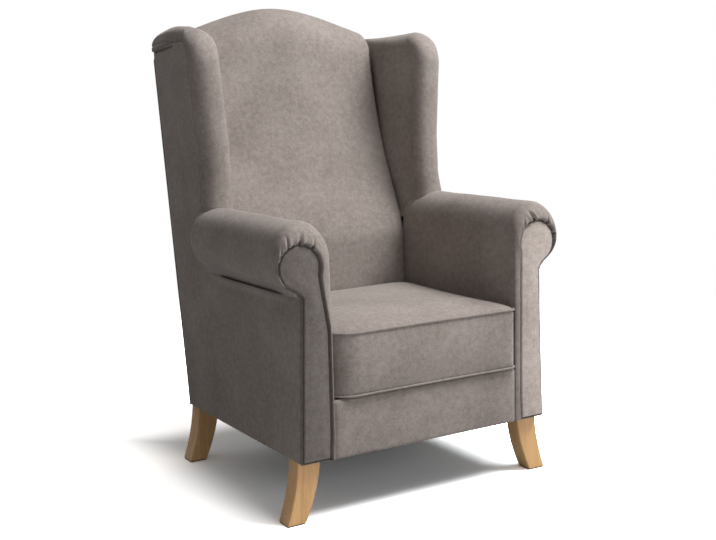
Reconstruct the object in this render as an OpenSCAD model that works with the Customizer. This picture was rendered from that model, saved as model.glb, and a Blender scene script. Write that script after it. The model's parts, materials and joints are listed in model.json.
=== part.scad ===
// Upholstered wing chair for beside a fire: a wooden frame with springs and webbing, foam
// padding, fabric covers, a loose box cushion and four curved beech legs.
// Millimetres. +Z is up, the sitter faces -Y, and the floor is at z = 0.

/* [Body] */
// Width over the side panels at the bottom edge
body_w = 700; // [670:5:740]
// Depth of the body at its bottom edge
body_d = 644; // [620:2:680]
// Height of the highest point of the back
crest_h = 1216; // [1180:2:1260]
// Height of the legs
leg_h = 148; // [125:1:170]
// Height of the seat box, from the body's bottom edge to the deck
box_h = 139; // [130:1:150]
// Lean of the outside back, in degrees
rake = 8.8; // [6:0.1:11]

/* [Arms] */
// Width between the inner faces of the arms
seat_w = 524; // [500:2:540]
// Height of the arm tops above the deck
arm_rise = 413; // [390:1:430]
// Width of the arm roll
roll_w = 134; // [120:1:144]
// Height of the arm roll
roll_h = 156; // [140:1:166]
// How far the seam under the roll lies below the arm top
neck_drop = 169; // [160:1:180]
// How far the side panels draw in at the seam under the roll
waist_in = 13; // [4:1:18]
// How far the roll's rear end lies ahead of the body's rear, at the bottom edge
roll_stop = 142; // [125:1:160]

/* [Facings] */
// Radius of the scroll at the top of an arm facing
scroll_r = 57; // [50:1:60]
// How far the scroll's top lies below the arm top
pleat_drop = 44; // [34:1:50]
// How far the facing's inner edge stands outside the arm's inner face
facing_inset = 18; // [12:1:24]
// Thickness of a facing
facing_t = 8; // [6:1:10]
// Diameter of the piping round the facings
arm_piping_d = 5; // [4:0.5:6]

/* [Wings] */
// How far the wing tops lie below the crest
wing_drop = 73; // [60:1:90]
// Thickness of a wing
wing_t = 80; // [70:1:86]
// Depth of a wing from its front edge at the arm to the body's rear, at the bottom edge
wing_deep = 202; // [185:1:215]
// How far the wing's front edge leans back from the arm to its top
wing_lean = 14; // [4:1:24]
// How far the wings splay outwards at their upper front corners
wing_flare = 22; // [8:1:28]
// Radius of the wing's upper front corner, seen from the side
wing_corner = 62; // [50:1:75]

/* [Back] */
// Thickness of the back at the seat
back_t = 149; // [135:1:155]
// Height above the deck at which the inside back starts to lean
lumbar_rise = 283; // [260:1:300]
// Thickness of the back where its crest begins
back_top_t = 118; // [105:1:130]
// How far the middle of the inside back stands forward of its sides
back_crown = 22; // [14:1:28]
// How far the crest falls from its middle to the wings
crest_slope = 0.43; // [0.36:0.01:0.48]
// Half length of the round part of the crest
crest_round = 155; // [130:1:190]

/* [Cushion] */
// Room behind the loose cushion, before the inside back
cushion_free = 11; // [9:1:20]
// Height of the cushion between its two pipings
border_h = 146; // [135:1:155]
// How far the top of the cushion crowns above its piping
crown_h = 28; // [18:1:34]
// How far the cushion front stands ahead of the facings
cushion_out = 9; // [4:1:14]
// How far each straight side is drawn in between its corners
side_draw = 3; // [1:0.5:5]
// Diameter of the cushion piping
piping_d = 7; // [5:0.5:8]

/* [Legs] */
// Thickness of a leg from front to back
leg_t = 47; // [40:1:52]
// Width of a leg at its top
leg_top_w = 58; // [52:1:62]
// Width of a leg at the floor
leg_foot_w = 48; // [42:1:52]
// How far the foot stands outside the top of the leg
leg_splay = 31; // [20:1:36]
// Distance from the facings back to the front legs
leg_set = 28; // [22:1:36]

/* [Frame] */
// Thickness of the rails and posts
rail_t = 25; // [22:1:27]
// Height of the seat rails
rail_h = 92; // [84:1:94]
// Width of the back posts
post_w = 42; // [36:1:44]
// Thickness of the wing boards
wing_board_t = 18; // [15:1:22]
// Thickness of the blocks that carry the legs
block_t = 16; // [14:1:18]
// Diameter of the dowels in the frame
dowel_d = 10; // [8:1:12]
// Diameter of the leg bolts
bolt_d = 8; // [6:1:9]

/* [Seat springing] */
// Number of springs across the seat
spring_count = 4; // [3:1:6]
// Diameter of the spring wire
wire_d = 3.6; // [3.2:0.1:4.2]
// Width of a spring's wave
wave_w = 46; // [38:1:50]

/* [Hidden] */

// Fits: the gap left between neighbouring pieces, and the overrun of a cut
gap = 0.3;
over = 2;
round_sides = 16;
cover_t = 1.8;
panel_t = 5;
pad_in = cover_t + gap;

// Heights
bottom_z = leg_h;
deck_z = bottom_z + box_h;
arm_z = deck_z + arm_rise;
neck_z = arm_z - neck_drop;
roll_z = arm_z - roll_h / 2;
scroll_z = arm_z - pleat_drop - scroll_r;
wing_z = crest_h - wing_drop;
block_z = bottom_z + over;
rail_z = block_z + block_t;
rail_top_z = rail_z + rail_h;
lumbar_z = deck_z + lumbar_rise;

// Depths: the whole chair, cushion and crest included, is centred on y = 0
crest_front_round = 106;
crest_rear_round = 34;
back_run = (crest_h - crest_rear_round - leg_h) * tan(rake);
border_bulge = 7;
front_y = -(body_d + back_run - cushion_out - border_bulge) / 2;
function rear_y(z) = front_y + body_d + (z - bottom_z) * tan(rake);
inside_y = front_y + body_d - back_t;
inside_top_y = rear_y(crest_h - crest_front_round) - back_top_t;
wing_y = front_y + body_d - wing_deep;
roll_d = body_d - roll_stop;
roll_end_y = front_y + roll_d;

// Widths
side_x = body_w / 2;
arm_x = seat_w / 2;
roll_x = arm_x + roll_w / 2;
facing_x = arm_x + facing_inset;
scroll_over = 5.5;
scroll_x = facing_x + scroll_r - scroll_over;
neck_x = side_x - waist_in;
slab_t = 26;
slab_x = arm_x + slab_t;

function mix(a, b, t) = a + (b - a) * t;
function clamp(t) = min(1, max(0, t));
function curve(p, t) = pow(1 - t, 3) * p[0] + 3 * pow(1 - t, 2) * t * p[1]
    + 3 * (1 - t) * t * t * p[2] + pow(t, 3) * p[3];
function unit(v) = v / max(norm(v), 0.000001);
// Moves every point of an anticlockwise outline inwards by d, square to its two sides
function inset(p, d) = let (n = len(p)) [for (i = [0:n - 1])
    let (a = unit(p[i] - p[(i + n - 1) % n]), b = unit(p[(i + 1) % n] - p[i]),
         na = [-a[1], a[0]], nb = [-b[1], b[0]])
    p[i] + d * (na + nb) / max(1 + na * nb, 0.4)];

// Triangles that close the end of a loft. A solid's end is fanned out from the point numbered hub.
// A sheet's end is a strip between its two faces, once its first few points, if any, are closed over
function end_cap(m, hub, closed) = let (h = m / 2, c = is_undef(closed) ? 0 : closed)
    is_undef(closed) ? [for (k = [1:m - 2]) [hub, (hub + k) % m, (hub + k + 1) % m]] :
    concat(c == 0 ? [] : concat([for (k = [1:c - 1]) each [[0, k, k + 1], [m - 1, m - 2 - k, m - 1 - k]]],
            [[0, c, m - 1 - c], [0, m - 1 - c, m - 1]]),
        c > h - 2 ? [] : [for (i = [c:h - 2]) each [[i, i + 1, m - 2 - i], [i, m - 2 - i, m - 1 - i]]]);

// A closed solid through rings of points, each ring anticlockwise seen from the far end
module loft(rings, hub = 0, near = undef, far = undef) {
    n = len(rings);
    m = len(rings[0]);
    points = [for (r = rings) each r];
    sheet = !is_undef(far);
    sides = [for (i = [0:n - 2], j = [0:m - 1])
        let (a = i * m + j, b = i * m + (j + 1) % m)
        each sheet && j >= m / 2 ? [[a + m, b, a], [a + m, b + m, b]] : [[b + m, b, a], [a + m, b + m, a]]];
    last = (n - 1) * m;
    far_cap = [for (f = end_cap(m, hub, far)) [f[2] + last, f[1] + last, f[0] + last]];
    polyhedron(points, concat(end_cap(m, hub, near), far_cap, sides), convexity = 8);
}

// A round tube along a path, closed in a loop or with flat ends
module tube(path, d, sides = 6, closed = false) {
    n = len(path);
    function before(i) = closed ? path[(i + n - 1) % n] : path[max(i - 1, 0)];
    function after(i) = closed ? path[(i + 1) % n] : path[min(i + 1, n - 1)];
    rings = [for (i = [0:n - 1])
        let (t = unit(after(i) - before(i)),
             up = abs(t[1]) < 0.9 ? [0, 1, 0] : [0, 0, 1],
             u = unit(cross(t, up)), v = cross(t, u))
        [for (k = [0:sides - 1]) path[i] + d / 2 * (cos(360 * k / sides) * u + sin(360 * k / sides) * v)]];
    if (closed) {
        points = [for (r = rings) each r];
        faces = [for (i = [0:n - 1], k = [0:sides - 1])
            let (a = i * sides + k, b = i * sides + (k + 1) % sides, s = (i + 1) % n * sides)
            each [[a, s + k, s + (k + 1) % sides], [a, s + (k + 1) % sides, b]]];
        polyhedron(points, faces, convexity = 6);
    } else loft(rings);
}

module box(low, high) {
    translate(low) cube(high - low);
}

// Prism of a (y, z) outline from x0 to x1
module side_prism(outline, x0, x1) {
    translate([x0, 0, 0]) rotate([90, 0, 90]) linear_extrude(x1 - x0) polygon(outline);
}

// Prism of an (x, z) outline from y0 back to y1
module front_prism(outline, y0, y1) {
    translate([0, y1, 0]) rotate([90, 0, 0]) linear_extrude(y1 - y0) polygon(outline);
}

module left() {
    mirror([1, 0, 0]) children();
}

fabric = [0.52, 0.48, 0.45];
fabric_dark = [0.42, 0.38, 0.36];
foam = [0.93, 0.88, 0.72];
pine = [0.85, 0.72, 0.52];
beech = [0.80, 0.60, 0.38];
steel = [0.72, 0.73, 0.74];

// Arm facing outline, anticlockwise in (x, z): up the outer edge, round the scroll, down inside
facing_side_shares = [0, 0.35, 0.72, 0.9];
function side_at(z) = side_x - waist_in * clamp((z - bottom_z) / (neck_z - bottom_z));
scroll_out = acos(clamp((neck_x + 3 * arm_piping_d - scroll_x) / scroll_r));
function facing_outline(steps = 12) = concat(
    [for (s = facing_side_shares) let (z = mix(bottom_z, neck_z, s)) [side_at(z), z]],
    [[neck_x, neck_z]],
    [for (k = [0:steps]) let (a = mix(-scroll_out, 180, k / steps))
        [scroll_x + scroll_r * cos(a), scroll_z + scroll_r * sin(a)]],
    [[facing_x - arm_piping_d / 2, mix(neck_z, scroll_z, 0.3)], [facing_x, mix(bottom_z, neck_z, 0.8)],
     [facing_x + arm_piping_d, bottom_z]]);

// Arm ring in (x, z): swell 1 is the full roll, swell 0 the size of the facing behind its edge
roll_steps = 20;
roll_start = -62;
function arm_ring(swell, low_z) =
    let (cx = mix(scroll_x, roll_x, swell), cz = mix(scroll_z, roll_z, swell),
         rx = mix(scroll_r, roll_w / 2, swell), rz = mix(scroll_r, roll_h / 2, swell),
         inner = mix(facing_x - arm_piping_d / 2, arm_x, swell))
    concat([[slab_x, low_z], [slab_x, neck_z - over], [neck_x - over, neck_z]],
        [for (k = [0:roll_steps]) let (a = mix(roll_start, 180, k / roll_steps))
            [cx + rx * cos(a), cz + rz * sin(a)]],
        [[inner, mix(neck_z, cz, 0.4)], [inner, low_z]]);
arm_hub = roll_steps + 4;
arm_seam = 2;
arm_swell_shares = [1, 0.97, 0.88, 0.72, 0.5, 0.25, 0];
arm_round = 38;
arm_front_y = front_y + facing_t + gap;
arm_low_z = bottom_z + over;
// Arm rings from the back to the front, drawn in by d
function arm_rings(d) = [
    for (r = concat([[roll_end_y - d, 1]],
        [for (s = arm_swell_shares) [arm_front_y + d + (1 - sqrt(1 - s * s)) * arm_round, s]]))
    [for (p = inset(arm_ring(r[1], arm_low_z), d)) [p[0], r[0], p[1]]]];
// One ring of a sheet: a stretch of the outer ring, and the same stretch of the inner one back again
function sheet_ring(outer, inner, first, last) = concat([for (i = [first:last]) outer[i]],
    [for (i = [last:-1:first]) inner[i]]);

// Wing ring in (x, y) at height z, anticlockwise: inner face forward, round the front, outer face back
wing_low_z = neck_z + panel_t;
wing_r = wing_t / 2;
wing_steps = 10;
panel_y_shares = [0, 0.35, 0.7, 1];
wing_base_z = arm_z + over;
function wing_share(z) = clamp((z - wing_base_z) / (wing_z - wing_base_z));
function flare(z) = wing_flare * mix(0.25, 1, wing_share(z)) * clamp((z - neck_z) / (wing_base_z - neck_z));
function wing_front(z) = wing_y + wing_lean * wing_share(z)
    + (z > wing_z - wing_corner
        ? wing_corner - sqrt(max(0, pow(wing_corner, 2) - pow(z - wing_z + wing_corner, 2))) : 0);
function wing_seam(z) = wing_front(z) + wing_r;
function panel_at(y, z) = z < neck_z
    ? mix(side_at(z), side_x, clamp((y - front_y) / roll_d))
    : side_x + flare(z) * clamp((rear_y(z) - y) / (rear_y(z) - wing_seam(z)));
wing_in_x = arm_x + gap;
function wing_thin(z) = z > wing_z - wing_r ? sqrt(max(0.02, 1 - pow((z - wing_z + wing_r) / wing_r, 2))) : 1;
function wing_ring(z, back_in) =
    let (yf = wing_front(z), ys = wing_seam(z), k = wing_thin(z), out = panel_t + gap,
         xc = panel_at(ys, z) - wing_r, yb = rear_y(z) - out, cut = rear_y(z) - back_in,
         mid = mix(cut, ys, 0.6))
    concat([for (y = [cut, mid]) [mix(wing_in_x, xc - wing_r * k, (yb - y) / (yb - ys)), y]],
        [for (i = [0:wing_steps]) let (a = 180 + 180 * i / wing_steps)
            [xc + wing_r * k * cos(a), ys + wing_r * sin(a)]],
        [for (s = panel_y_shares) let (y = mix(ys + gap, cut, s)) [mix(xc, panel_at(y, z) - out, k), y]]);
wing_z_shares = [0, 0.3, 0.5, 0.66, 0.78, 0.86, 0.93, 0.965, 0.99];
function wing_rings(d, back_in) = [
    for (z = concat([wing_low_z - panel_t], [for (s = wing_z_shares) mix(wing_base_z, wing_z - d, s)]))
    [for (p = inset(wing_ring(z, back_in), d)) [p[0], p[1], z]]];

// Inside back: rings in (y, z) at a share u of the half width
function crest_at(x) = crest_h - crest_slope * (sqrt(x * x + crest_round * crest_round) - crest_round);
back_half = arm_x - gap;
back_steps = 5;
back_tuck = 14;
back_ease = 9;
function back_ring(u, low_z, rear_in) =
    let (top = crest_at(u * back_half), c = 1 - u * u, tuck = pow(abs(u), 12) * back_tuck,
         yl = inside_y - 0.3 * back_crown * c + tuck,
         yt = inside_top_y - 0.8 * back_crown * c + tuck,
         low = [yl, lumbar_z], lean = [yt, top - crest_front_round],
         knee = [mix(yl, yt, 0.7) - 0.4 * back_crown * c, mix(lumbar_z, wing_z, 0.33)],
         rear = rear_y(top - crest_rear_round) - rear_in,
         peak = [rear - crest_rear_round, top])
    concat([[rear_y(low_z) - rear_in, low_z], [rear, top - crest_rear_round]],
        [[rear - crest_rear_round * 0.3, top - crest_rear_round * 0.3]],
        [for (k = [0:back_steps]) curve([peak, [mix(peak[0], lean[0], 0.45), top],
            [lean[0] + back_ease, mix(lean[1], top, 0.5)], lean], k / back_steps)],
        [for (k = [1:back_steps]) curve([lean, knee, [yl, mix(lumbar_z, knee[1], 0.5)], low], k / back_steps)],
        [[yl, low_z]]);
back_u_shares = [-1, -0.94, -0.8, -0.6, -0.4, -0.2, 0, 0.2, 0.4, 0.6, 0.8, 0.94, 1];
module back_form(d, low_z, rear_in) {
    loft([for (u = back_u_shares) let (ring = inset(back_ring(u, low_z, rear_in), d))
        [for (p = ring) [u * (back_half - d), p[0], p[1]]]]);
}

// Frame places
post_y = arm_front_y + cover_t + gap;
post_back_y = post_y + rail_t;
board_x = slab_x + gap;
board_t = 6;
post_deep = 46;
out_in = panel_t + gap;
rear_post_x = side_x - out_in - pad_in;
rail_out_x = side_at(rail_top_z) - out_in;
rail_in_x = rail_out_x - rail_t;
frame_half = rear_post_x - post_w - gap;
function post_front(z) = rear_y(z) - out_in - post_deep;
back_rail_y = post_front(rail_top_z);
post_top_z = wing_z - wing_r * 1.5;
scroll_wrap = 14;
arm_rail_h = 25;
arm_rail_z = neck_z - over + pad_in - gap - arm_rail_h;

// Legs and their bolts
leg_under = 4;
leg_out_x = side_x - leg_under;
leg_in_x = leg_out_x - leg_top_w;
foot_out_x = leg_out_x + leg_splay;
glide_t = 2.5;
glide_in = 2;
leg_front_y = front_y + leg_set;
leg_rear_y = rear_y(bottom_z) - over - leg_t;
tee_r = 9;
tee_flange_t = 1.5;
tee_wall = 1.2;
tee_barrel_r = bolt_d / 2 + tee_wall;
tee_side = 1;
bolt_deep = 50;
bolt_tip = 1;
bolt_rise = 6;
bolt_room = 3;
bolt_x = rail_in_x - tee_r - tee_side;
bolt_top_z = rail_z + tee_flange_t + bolt_rise;
leg_places = [[1, leg_front_y], [-1, leg_front_y], [1, leg_rear_y], [-1, leg_rear_y]];
module at_legs() {
    for (place = leg_places) translate([place[0] * bolt_x, place[1] + leg_t / 2, 0]) children();
}

// Dowels: the end joints of the seat rails, as [x, y, z, runs along x]
dowel_l = 44;
dowel_fit = 0.1;
dowel_rise_shares = [0.28, 0.72];
dowel_places = [for (side = [-1, 1], s = dowel_rise_shares) let (z = mix(rail_z, rail_top_z, s)) each [
    [side * (board_x - gap / 2), post_y + rail_t / 2, z, true],
    [side * (rail_in_x + rail_t / 2), post_back_y + gap / 2, z, false],
    [side * (frame_half + gap / 2), back_rail_y + rail_t / 2, z, true]]];
module dowels(d) {
    for (p = dowel_places) translate([p[0], p[1], p[2]])
        rotate(p[3] ? [0, 90, 0] : [90, 0, 0]) cylinder(h = dowel_l, d = d, center = true, $fn = round_sides);
}

// Places a piece drawn upright on the outside back: y = 0 is the outer face, z = 0 the bottom edge
module leaning() {
    translate([0, front_y + body_d, bottom_z]) rotate([-rake, 0, 0]) children();
}
function along(z) = (z - bottom_z) / cos(rake);

module seat_front_rail() {
    color(pine) difference() {
        box([-board_x + gap, post_y, rail_z], [board_x - gap, post_back_y, rail_top_z]);
        dowels(dowel_d + dowel_fit);
    }
}

// Room for the bolts and tee nuts under the ends of the frame
module bolt_holes() {
    at_legs() translate([0, 0, rail_z - over])
        cylinder(h = over + bolt_top_z - rail_z + bolt_room, r = tee_r + gap, $fn = round_sides);
}
module seat_back_rail() {
    color(pine) difference() {
        box([-frame_half, back_rail_y, rail_z], [frame_half, back_rail_y + rail_t, rail_top_z]);
        dowels(dowel_d + dowel_fit);
        bolt_holes();
    }
}

module seat_side_rail() {
    color(pine) difference() {
        box([rail_in_x, post_back_y + gap, rail_z], [rail_out_x, post_front(rail_z) - gap, rail_top_z]);
        dowels(dowel_d + dowel_fit);
    }
}

block_margin = 8;
module leg_blocks() {
    color(pine) difference() {
        for (place = leg_places) {
            front = place[1] == leg_front_y;
            y0 = front ? post_y : place[1] - block_margin;
            y1 = front ? place[1] + leg_t + block_margin : rear_y(block_z) - out_in;
            mirror([place[0] < 0 ? 1 : 0, 0, 0])
                box([board_x + board_t + gap, y0, block_z], [rail_out_x, y1, rail_z - gap / 3]);
        }
        at_legs() translate([0, 0, block_z - over])
            cylinder(h = block_t + 2 * over, r = tee_barrel_r + dowel_fit, $fn = round_sides);
    }
}

// Front post of an arm, with the scroll shape at its top
function post_outline() = concat(
    [[rail_out_x, rail_z]],
    [for (s = [0.4, 0.7, 1]) let (z = mix(rail_z, neck_z - arm_rail_h, s)) [side_at(z) - out_in, z]],
    [[neck_x - out_in, neck_z]],
    [for (k = [0:10]) let (a = mix(-scroll_out, 180, k / 10))
        [scroll_x + (scroll_r - scroll_wrap) * cos(a), scroll_z + (scroll_r - scroll_wrap) * sin(a)]],
    [[board_x, neck_z], [board_x, rail_z]]);
module arm_post_blank(grow) {
    front_prism(inset(post_outline(), -grow), post_y - grow, post_back_y + grow);
}
module arm_post() {
    color(pine) difference() {
        arm_post_blank(0);
        dowels(dowel_d + dowel_fit);
    }
}

module arm_rail() {
    color(pine) box([board_x + board_t + gap, post_back_y + gap, arm_rail_z],
        [neck_x - out_in - gap, post_front(arm_rail_z) - gap, arm_rail_z + arm_rail_h]);
}

module inner_arm_board() {
    color([0.76, 0.62, 0.45]) box([board_x, post_back_y + gap, rail_z],
        [board_x + board_t, post_front(rail_z) - gap, arm_rail_z + arm_rail_h - gap]);
}

module back_post() {
    outline = [[post_front(rail_z), rail_z], [rear_y(rail_z) - out_in, rail_z],
        [rear_y(post_top_z) - out_in, post_top_z], [post_front(post_top_z), post_top_z]];
    color(pine) difference() {
        side_prism(outline, rear_post_x - post_w, rear_post_x);
        dowels(dowel_d + dowel_fit);
        bolt_holes();
    }
}

crest_rail_h = 95;
crest_rail_drop = 56;
function crest_rail_outline(grow) = let (low = along(crest_at(frame_half) - crest_rail_h))
    concat([[-frame_half - grow, low - grow], [frame_half + grow, low - grow]],
    [for (k = [8:-1:-8]) let (x = frame_half * k / 8)
        [x + sign(k) * (abs(k) == 8 ? grow : 0), along(crest_at(x) - crest_rail_drop) + grow]]);
module crest_rail_blank(grow) {
    y = -out_in - post_deep;
    leaning() front_prism(crest_rail_outline(grow), y - grow, y + rail_t + grow);
}
module crest_rail() {
    color(pine) crest_rail_blank(0);
}

lumbar_rail_rise = 60;
lumbar_rail_h = 45;
module lumbar_rail() {
    low = along(deck_z + lumbar_rail_rise);
    color(pine) leaning() box([-frame_half, -out_in - post_deep, low],
        [frame_half, -out_in - post_deep + rail_t, low + lumbar_rail_h]);
}

// Webbing: straps across the posts, and straps between the two rails in front of them
strap_t = 1.5;
strap_w = 50;
strap_tack = 11;
strap_y = -out_in - post_deep - gap - strap_t;
strap_high_shares = [0.14, 0.38, 0.62, 0.86];
strap_wide_shares = [-0.62, 0, 0.62];
strap_low = along(deck_z + lumbar_rail_rise) + lumbar_rail_h * 0.3;
strap_high = along(crest_at(frame_half) - crest_rail_h) + strap_w * 0.5;
module back_webbing() {
    color([0.35, 0.33, 0.30]) leaning() {
        for (s = strap_high_shares) {
            z = mix(strap_low, strap_high, s);
            box([-frame_half - strap_tack, strap_y, z - strap_w / 2],
                [frame_half + strap_tack, strap_y + strap_t, z + strap_w / 2]);
        }
        for (s = strap_wide_shares)
            box([s * frame_half - strap_w / 2, strap_y - gap - strap_t, strap_low],
                [s * frame_half + strap_w / 2, strap_y - gap, strap_high]);
    }
}
frame_cut_y = strap_y - 2 * gap - strap_t;

// Wing board, set inside the wing's outline
board_margin = 30;
wing_board_x = rear_post_x - post_w + strap_tack + gap + over;
wing_board_low_z = wing_low_z + board_margin / 2;
function wing_board_outline() = concat(
    [[post_front(wing_board_low_z) - gap, wing_board_low_z]],
    [[post_front(post_top_z) - gap, post_top_z]],
    [for (s = [1, 0.9, 0.75, 0.5, 0.25, 0.02]) let (z = mix(arm_z + board_margin, wing_z - board_margin, s))
        [wing_front(z) + board_margin, z]],
    [[roll_end_y + board_margin / 2, arm_z + board_margin / 2],
     [roll_end_y + board_margin / 2, wing_board_low_z]]);
module wing_board_blank(grow) {
    side_prism(inset(wing_board_outline(), -grow), wing_board_x - grow, wing_board_x + wing_board_t + grow);
}
module wing_board() {
    color([0.76, 0.62, 0.45]) wing_board_blank(0);
}

module frame_dowels() {
    color(beech) dowels(dowel_d);
}

// Waved seat springs, hooked into a clip at each end
clip_t = 1.5;
clip_w = 18;
wire_z = rail_top_z + gap + clip_t + gap + wire_d / 2;
spring_y0 = post_y + rail_t * 0.55;
spring_y1 = back_rail_y + rail_t * 0.45;
spring_pitch = (arm_x * 2 - wave_w * 1.6) / max(spring_count - 1, 1);
wave_count = 12;
function spring_path(x) = let (step = (spring_y1 - spring_y0) / wave_count, r = step / 2)
    [for (i = [0:wave_count - 1], a = [-90, -30, 30, 90])
        let (side = i % 2 == 0 ? 1 : -1)
        [x + side * (wave_w / 2 - r + r * cos(a)), spring_y0 + step * (i + 0.5) + r * sin(a), wire_z]];
function spring_x(i) = (i - (spring_count - 1) / 2) * spring_pitch;
module seat_springs() {
    color(steel) for (i = [0:spring_count - 1]) tube(spring_path(spring_x(i)), wire_d, sides = 5);
}

// Clip profile in (y, z), open towards the seat
module clip(x, y, facing) {
    h = wire_d + 2 * gap;
    low = rail_top_z + gap;
    back = y - facing * (wire_d / 2 + gap + clip_t);
    tip = y + facing * wire_d;
    outline = [[back, low], [tip, low], [tip, low + clip_t], [back + facing * clip_t, low + clip_t],
        [back + facing * clip_t, low + clip_t + h], [tip, low + clip_t + h],
        [tip, low + 2 * clip_t + h], [back, low + 2 * clip_t + h]];
    side_prism(outline, x - clip_w / 2, x + clip_w / 2);
}
module spring_clips() {
    color(steel) for (i = [0:spring_count - 1]) {
        clip(spring_x(i), spring_y0, 1);
        clip(spring_x(i), spring_y1, -1);
    }
}

felt_t = 4;
felt_z = rail_top_z + gap + 2 * clip_t + wire_d + 2 * gap + gap;
deck_half = arm_x - 2 * gap;
deck_back_y = back_rail_y + rail_t;
module spring_felt() {
    color([0.55, 0.55, 0.56]) box([-deck_half, post_y, felt_z], [deck_half, deck_back_y, felt_z + felt_t]);
}
module seat_deck() {
    color(fabric_dark) box([-deck_half, post_y, felt_z + felt_t + gap], [deck_half, deck_back_y, deck_z]);
}

// Back padding and cover
back_low_z = deck_z + gap;
frame_low_z = crest_at(frame_half) - crest_rail_drop;
module back_cut(half, high_z) {
    leaning() box([-half, frame_cut_y, 0], [half, over, along(high_z)]);
}
module back_pad() {
    color(foam) difference() {
        back_form(pad_in, back_low_z - pad_in, panel_t + gap);
        back_cut(side_x, frame_low_z);
        crest_rail_blank(gap);
    }
}
module inside_back_cover() {
    color(fabric) difference() {
        back_form(0, back_low_z, panel_t + gap);
        back_form(cover_t, back_low_z - 2 * cover_t, panel_t + gap);
        back_cut(side_x, frame_low_z);
        crest_rail_blank(gap);
    }
}

// Room for the front rail where it runs through an arm's inner face
module rail_room() {
    box([0, arm_front_y - over, rail_z - gap], [side_x, post_back_y + gap, rail_top_z + gap]);
}
module arm_pad() {
    color(foam) difference() {
        loft(arm_rings(pad_in), hub = arm_hub);
        arm_post_blank(gap);
        rail_room();
    }
}
module arm_cover() {
    outer = arm_rings(0);
    inner = arm_rings(cover_t);
    color(fabric) difference() {
        loft([for (i = [0:len(outer) - 1]) sheet_ring(outer[i], inner[i], arm_seam, arm_hub + 1)],
            near = arm_hub - arm_seam, far = 0);
        rail_room();
    }
}

// Room for the arm's full section, and for all below its roll, where the wing stands on it
module arm_room() {
    front_prism(inset(arm_ring(1, arm_low_z), -gap), front_y, roll_end_y + gap);
    box([arm_x, front_y, bottom_z], [roll_x + roll_w / 2, roll_end_y + gap, roll_z]);
    box([arm_x, front_y, bottom_z], [roll_x + roll_w / 2, -front_y, wing_low_z]);
}

module wing_pad() {
    color(foam) difference() {
        loft(wing_rings(pad_in + over, -frame_cut_y / cos(rake)));
        arm_room();
        wing_board_blank(gap);
    }
}
module wing_cover() {
    outer = wing_rings(0, out_in);
    inner = wing_rings(cover_t, out_in);
    last = len(outer[0]) - 1;
    color(fabric) difference() {
        loft([for (i = [0:len(outer) - 1]) sheet_ring(outer[i], inner[i], 0, last)], near = 0, far = last);
        arm_room();
        back_cut(frame_half + strap_tack + gap, crest_at(arm_x) - crest_rail_drop + over);
    }
}

// Side panel: the outside of an arm and of the wing above it, in one piece
panel_low_shares = [0, 0.35, 0.7, 1];
panel_mid_shares = [0, 0.5, 1];
panel_top_share = 0.93;
module side_panel() {
    rings = concat([for (s = panel_low_shares) [mix(bottom_z, neck_z, s), arm_front_y]],
        [for (s = panel_mid_shares) [mix(neck_z, arm_z, s) + gap, roll_end_y + gap]],
        [for (s = wing_z_shares) if (s <= panel_top_share)
            let (z = mix(wing_base_z, wing_z, s)) [z, wing_seam(z) + 2 * gap]]);
    color(fabric_dark) loft([for (r = rings)
        let (z = r[0], y1 = rear_y(z) - panel_t - gap)
        concat([for (s = panel_y_shares) let (y = mix(r[1], y1, s)) [panel_at(y, z), y, z]],
            [for (s = panel_y_shares) let (y = mix(y1, r[1], s)) [panel_at(y, z) - panel_t, y, z]])],
        near = 0, far = 0);
}

// Outside back: one flat panel, its top following the crest and the wings
shoulder_in = 8;
shoulder_steps = 5;
function shoulder(side) = let (a = (side_x - back_half) / 2)
    [for (k = [1:shoulder_steps]) let (t = 90 * (side > 0 ? k : shoulder_steps + 1 - k) / shoulder_steps)
        [side * (side_x - a + a * cos(t)), along(wing_z - wing_r - shoulder_in + wing_r * sin(t))]];
module outside_back_panel() {
    crest_half = back_half - shoulder_in;
    top = along(wing_z - wing_r - shoulder_in);
    outline = concat([[-side_x, 0], [side_x, 0], [side_x, top]],
        shoulder(1),
        [for (k = [8:-1:-8]) let (x = crest_half * k / 8) [x, along(crest_at(x) - crest_rear_round / 2)]],
        shoulder(-1), [[-side_x, top]]);
    color(fabric_dark) leaning() front_prism(outline, -panel_t, 0);
}

module arm_facing() {
    color(fabric) front_prism(inset(facing_outline(), arm_piping_d + 2 * gap), front_y, front_y + facing_t);
}
module arm_piping() {
    path = [for (p = inset(facing_outline(14), arm_piping_d / 2))
        [p[0], front_y + facing_t - arm_piping_d / 2, max(p[1], bottom_z + over)]];
    color(fabric_dark) tube(path, arm_piping_d, sides = 6);
}

border_set = 1;
border_side = 2;
border_top_in = 1;
border_round = 9;
border_ease = 3;
border_hem = 6;
module front_border() {
    y0 = front_y + border_set;
    y1 = post_y - gap;
    mid = mix(y0, y1, 0.45);
    top = deck_z - border_top_in;
    outline = [[y1, bottom_z], [y1, top], [mid, top], [y0 + border_set, top - border_ease],
        [y0, top - border_round], [y0, bottom_z + border_hem],
        [y0 + border_set, bottom_z + over], [mid, bottom_z]];
    color(fabric) side_prism(outline, -arm_x + border_side, arm_x - border_side);
}

dust_t = 1.2;
module dust_cover() {
    color([0.16, 0.15, 0.15]) difference() {
        box([-side_x + out_in, post_y, bottom_z + gap],
            [side_x - out_in, rear_y(bottom_z) - out_in, bottom_z + gap + dust_t]);
        at_legs() translate([0, 0, bottom_z - over])
            cylinder(h = 2 * over + dust_t, d = bolt_d + bolt_room, $fn = round_sides);
    }
}

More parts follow.
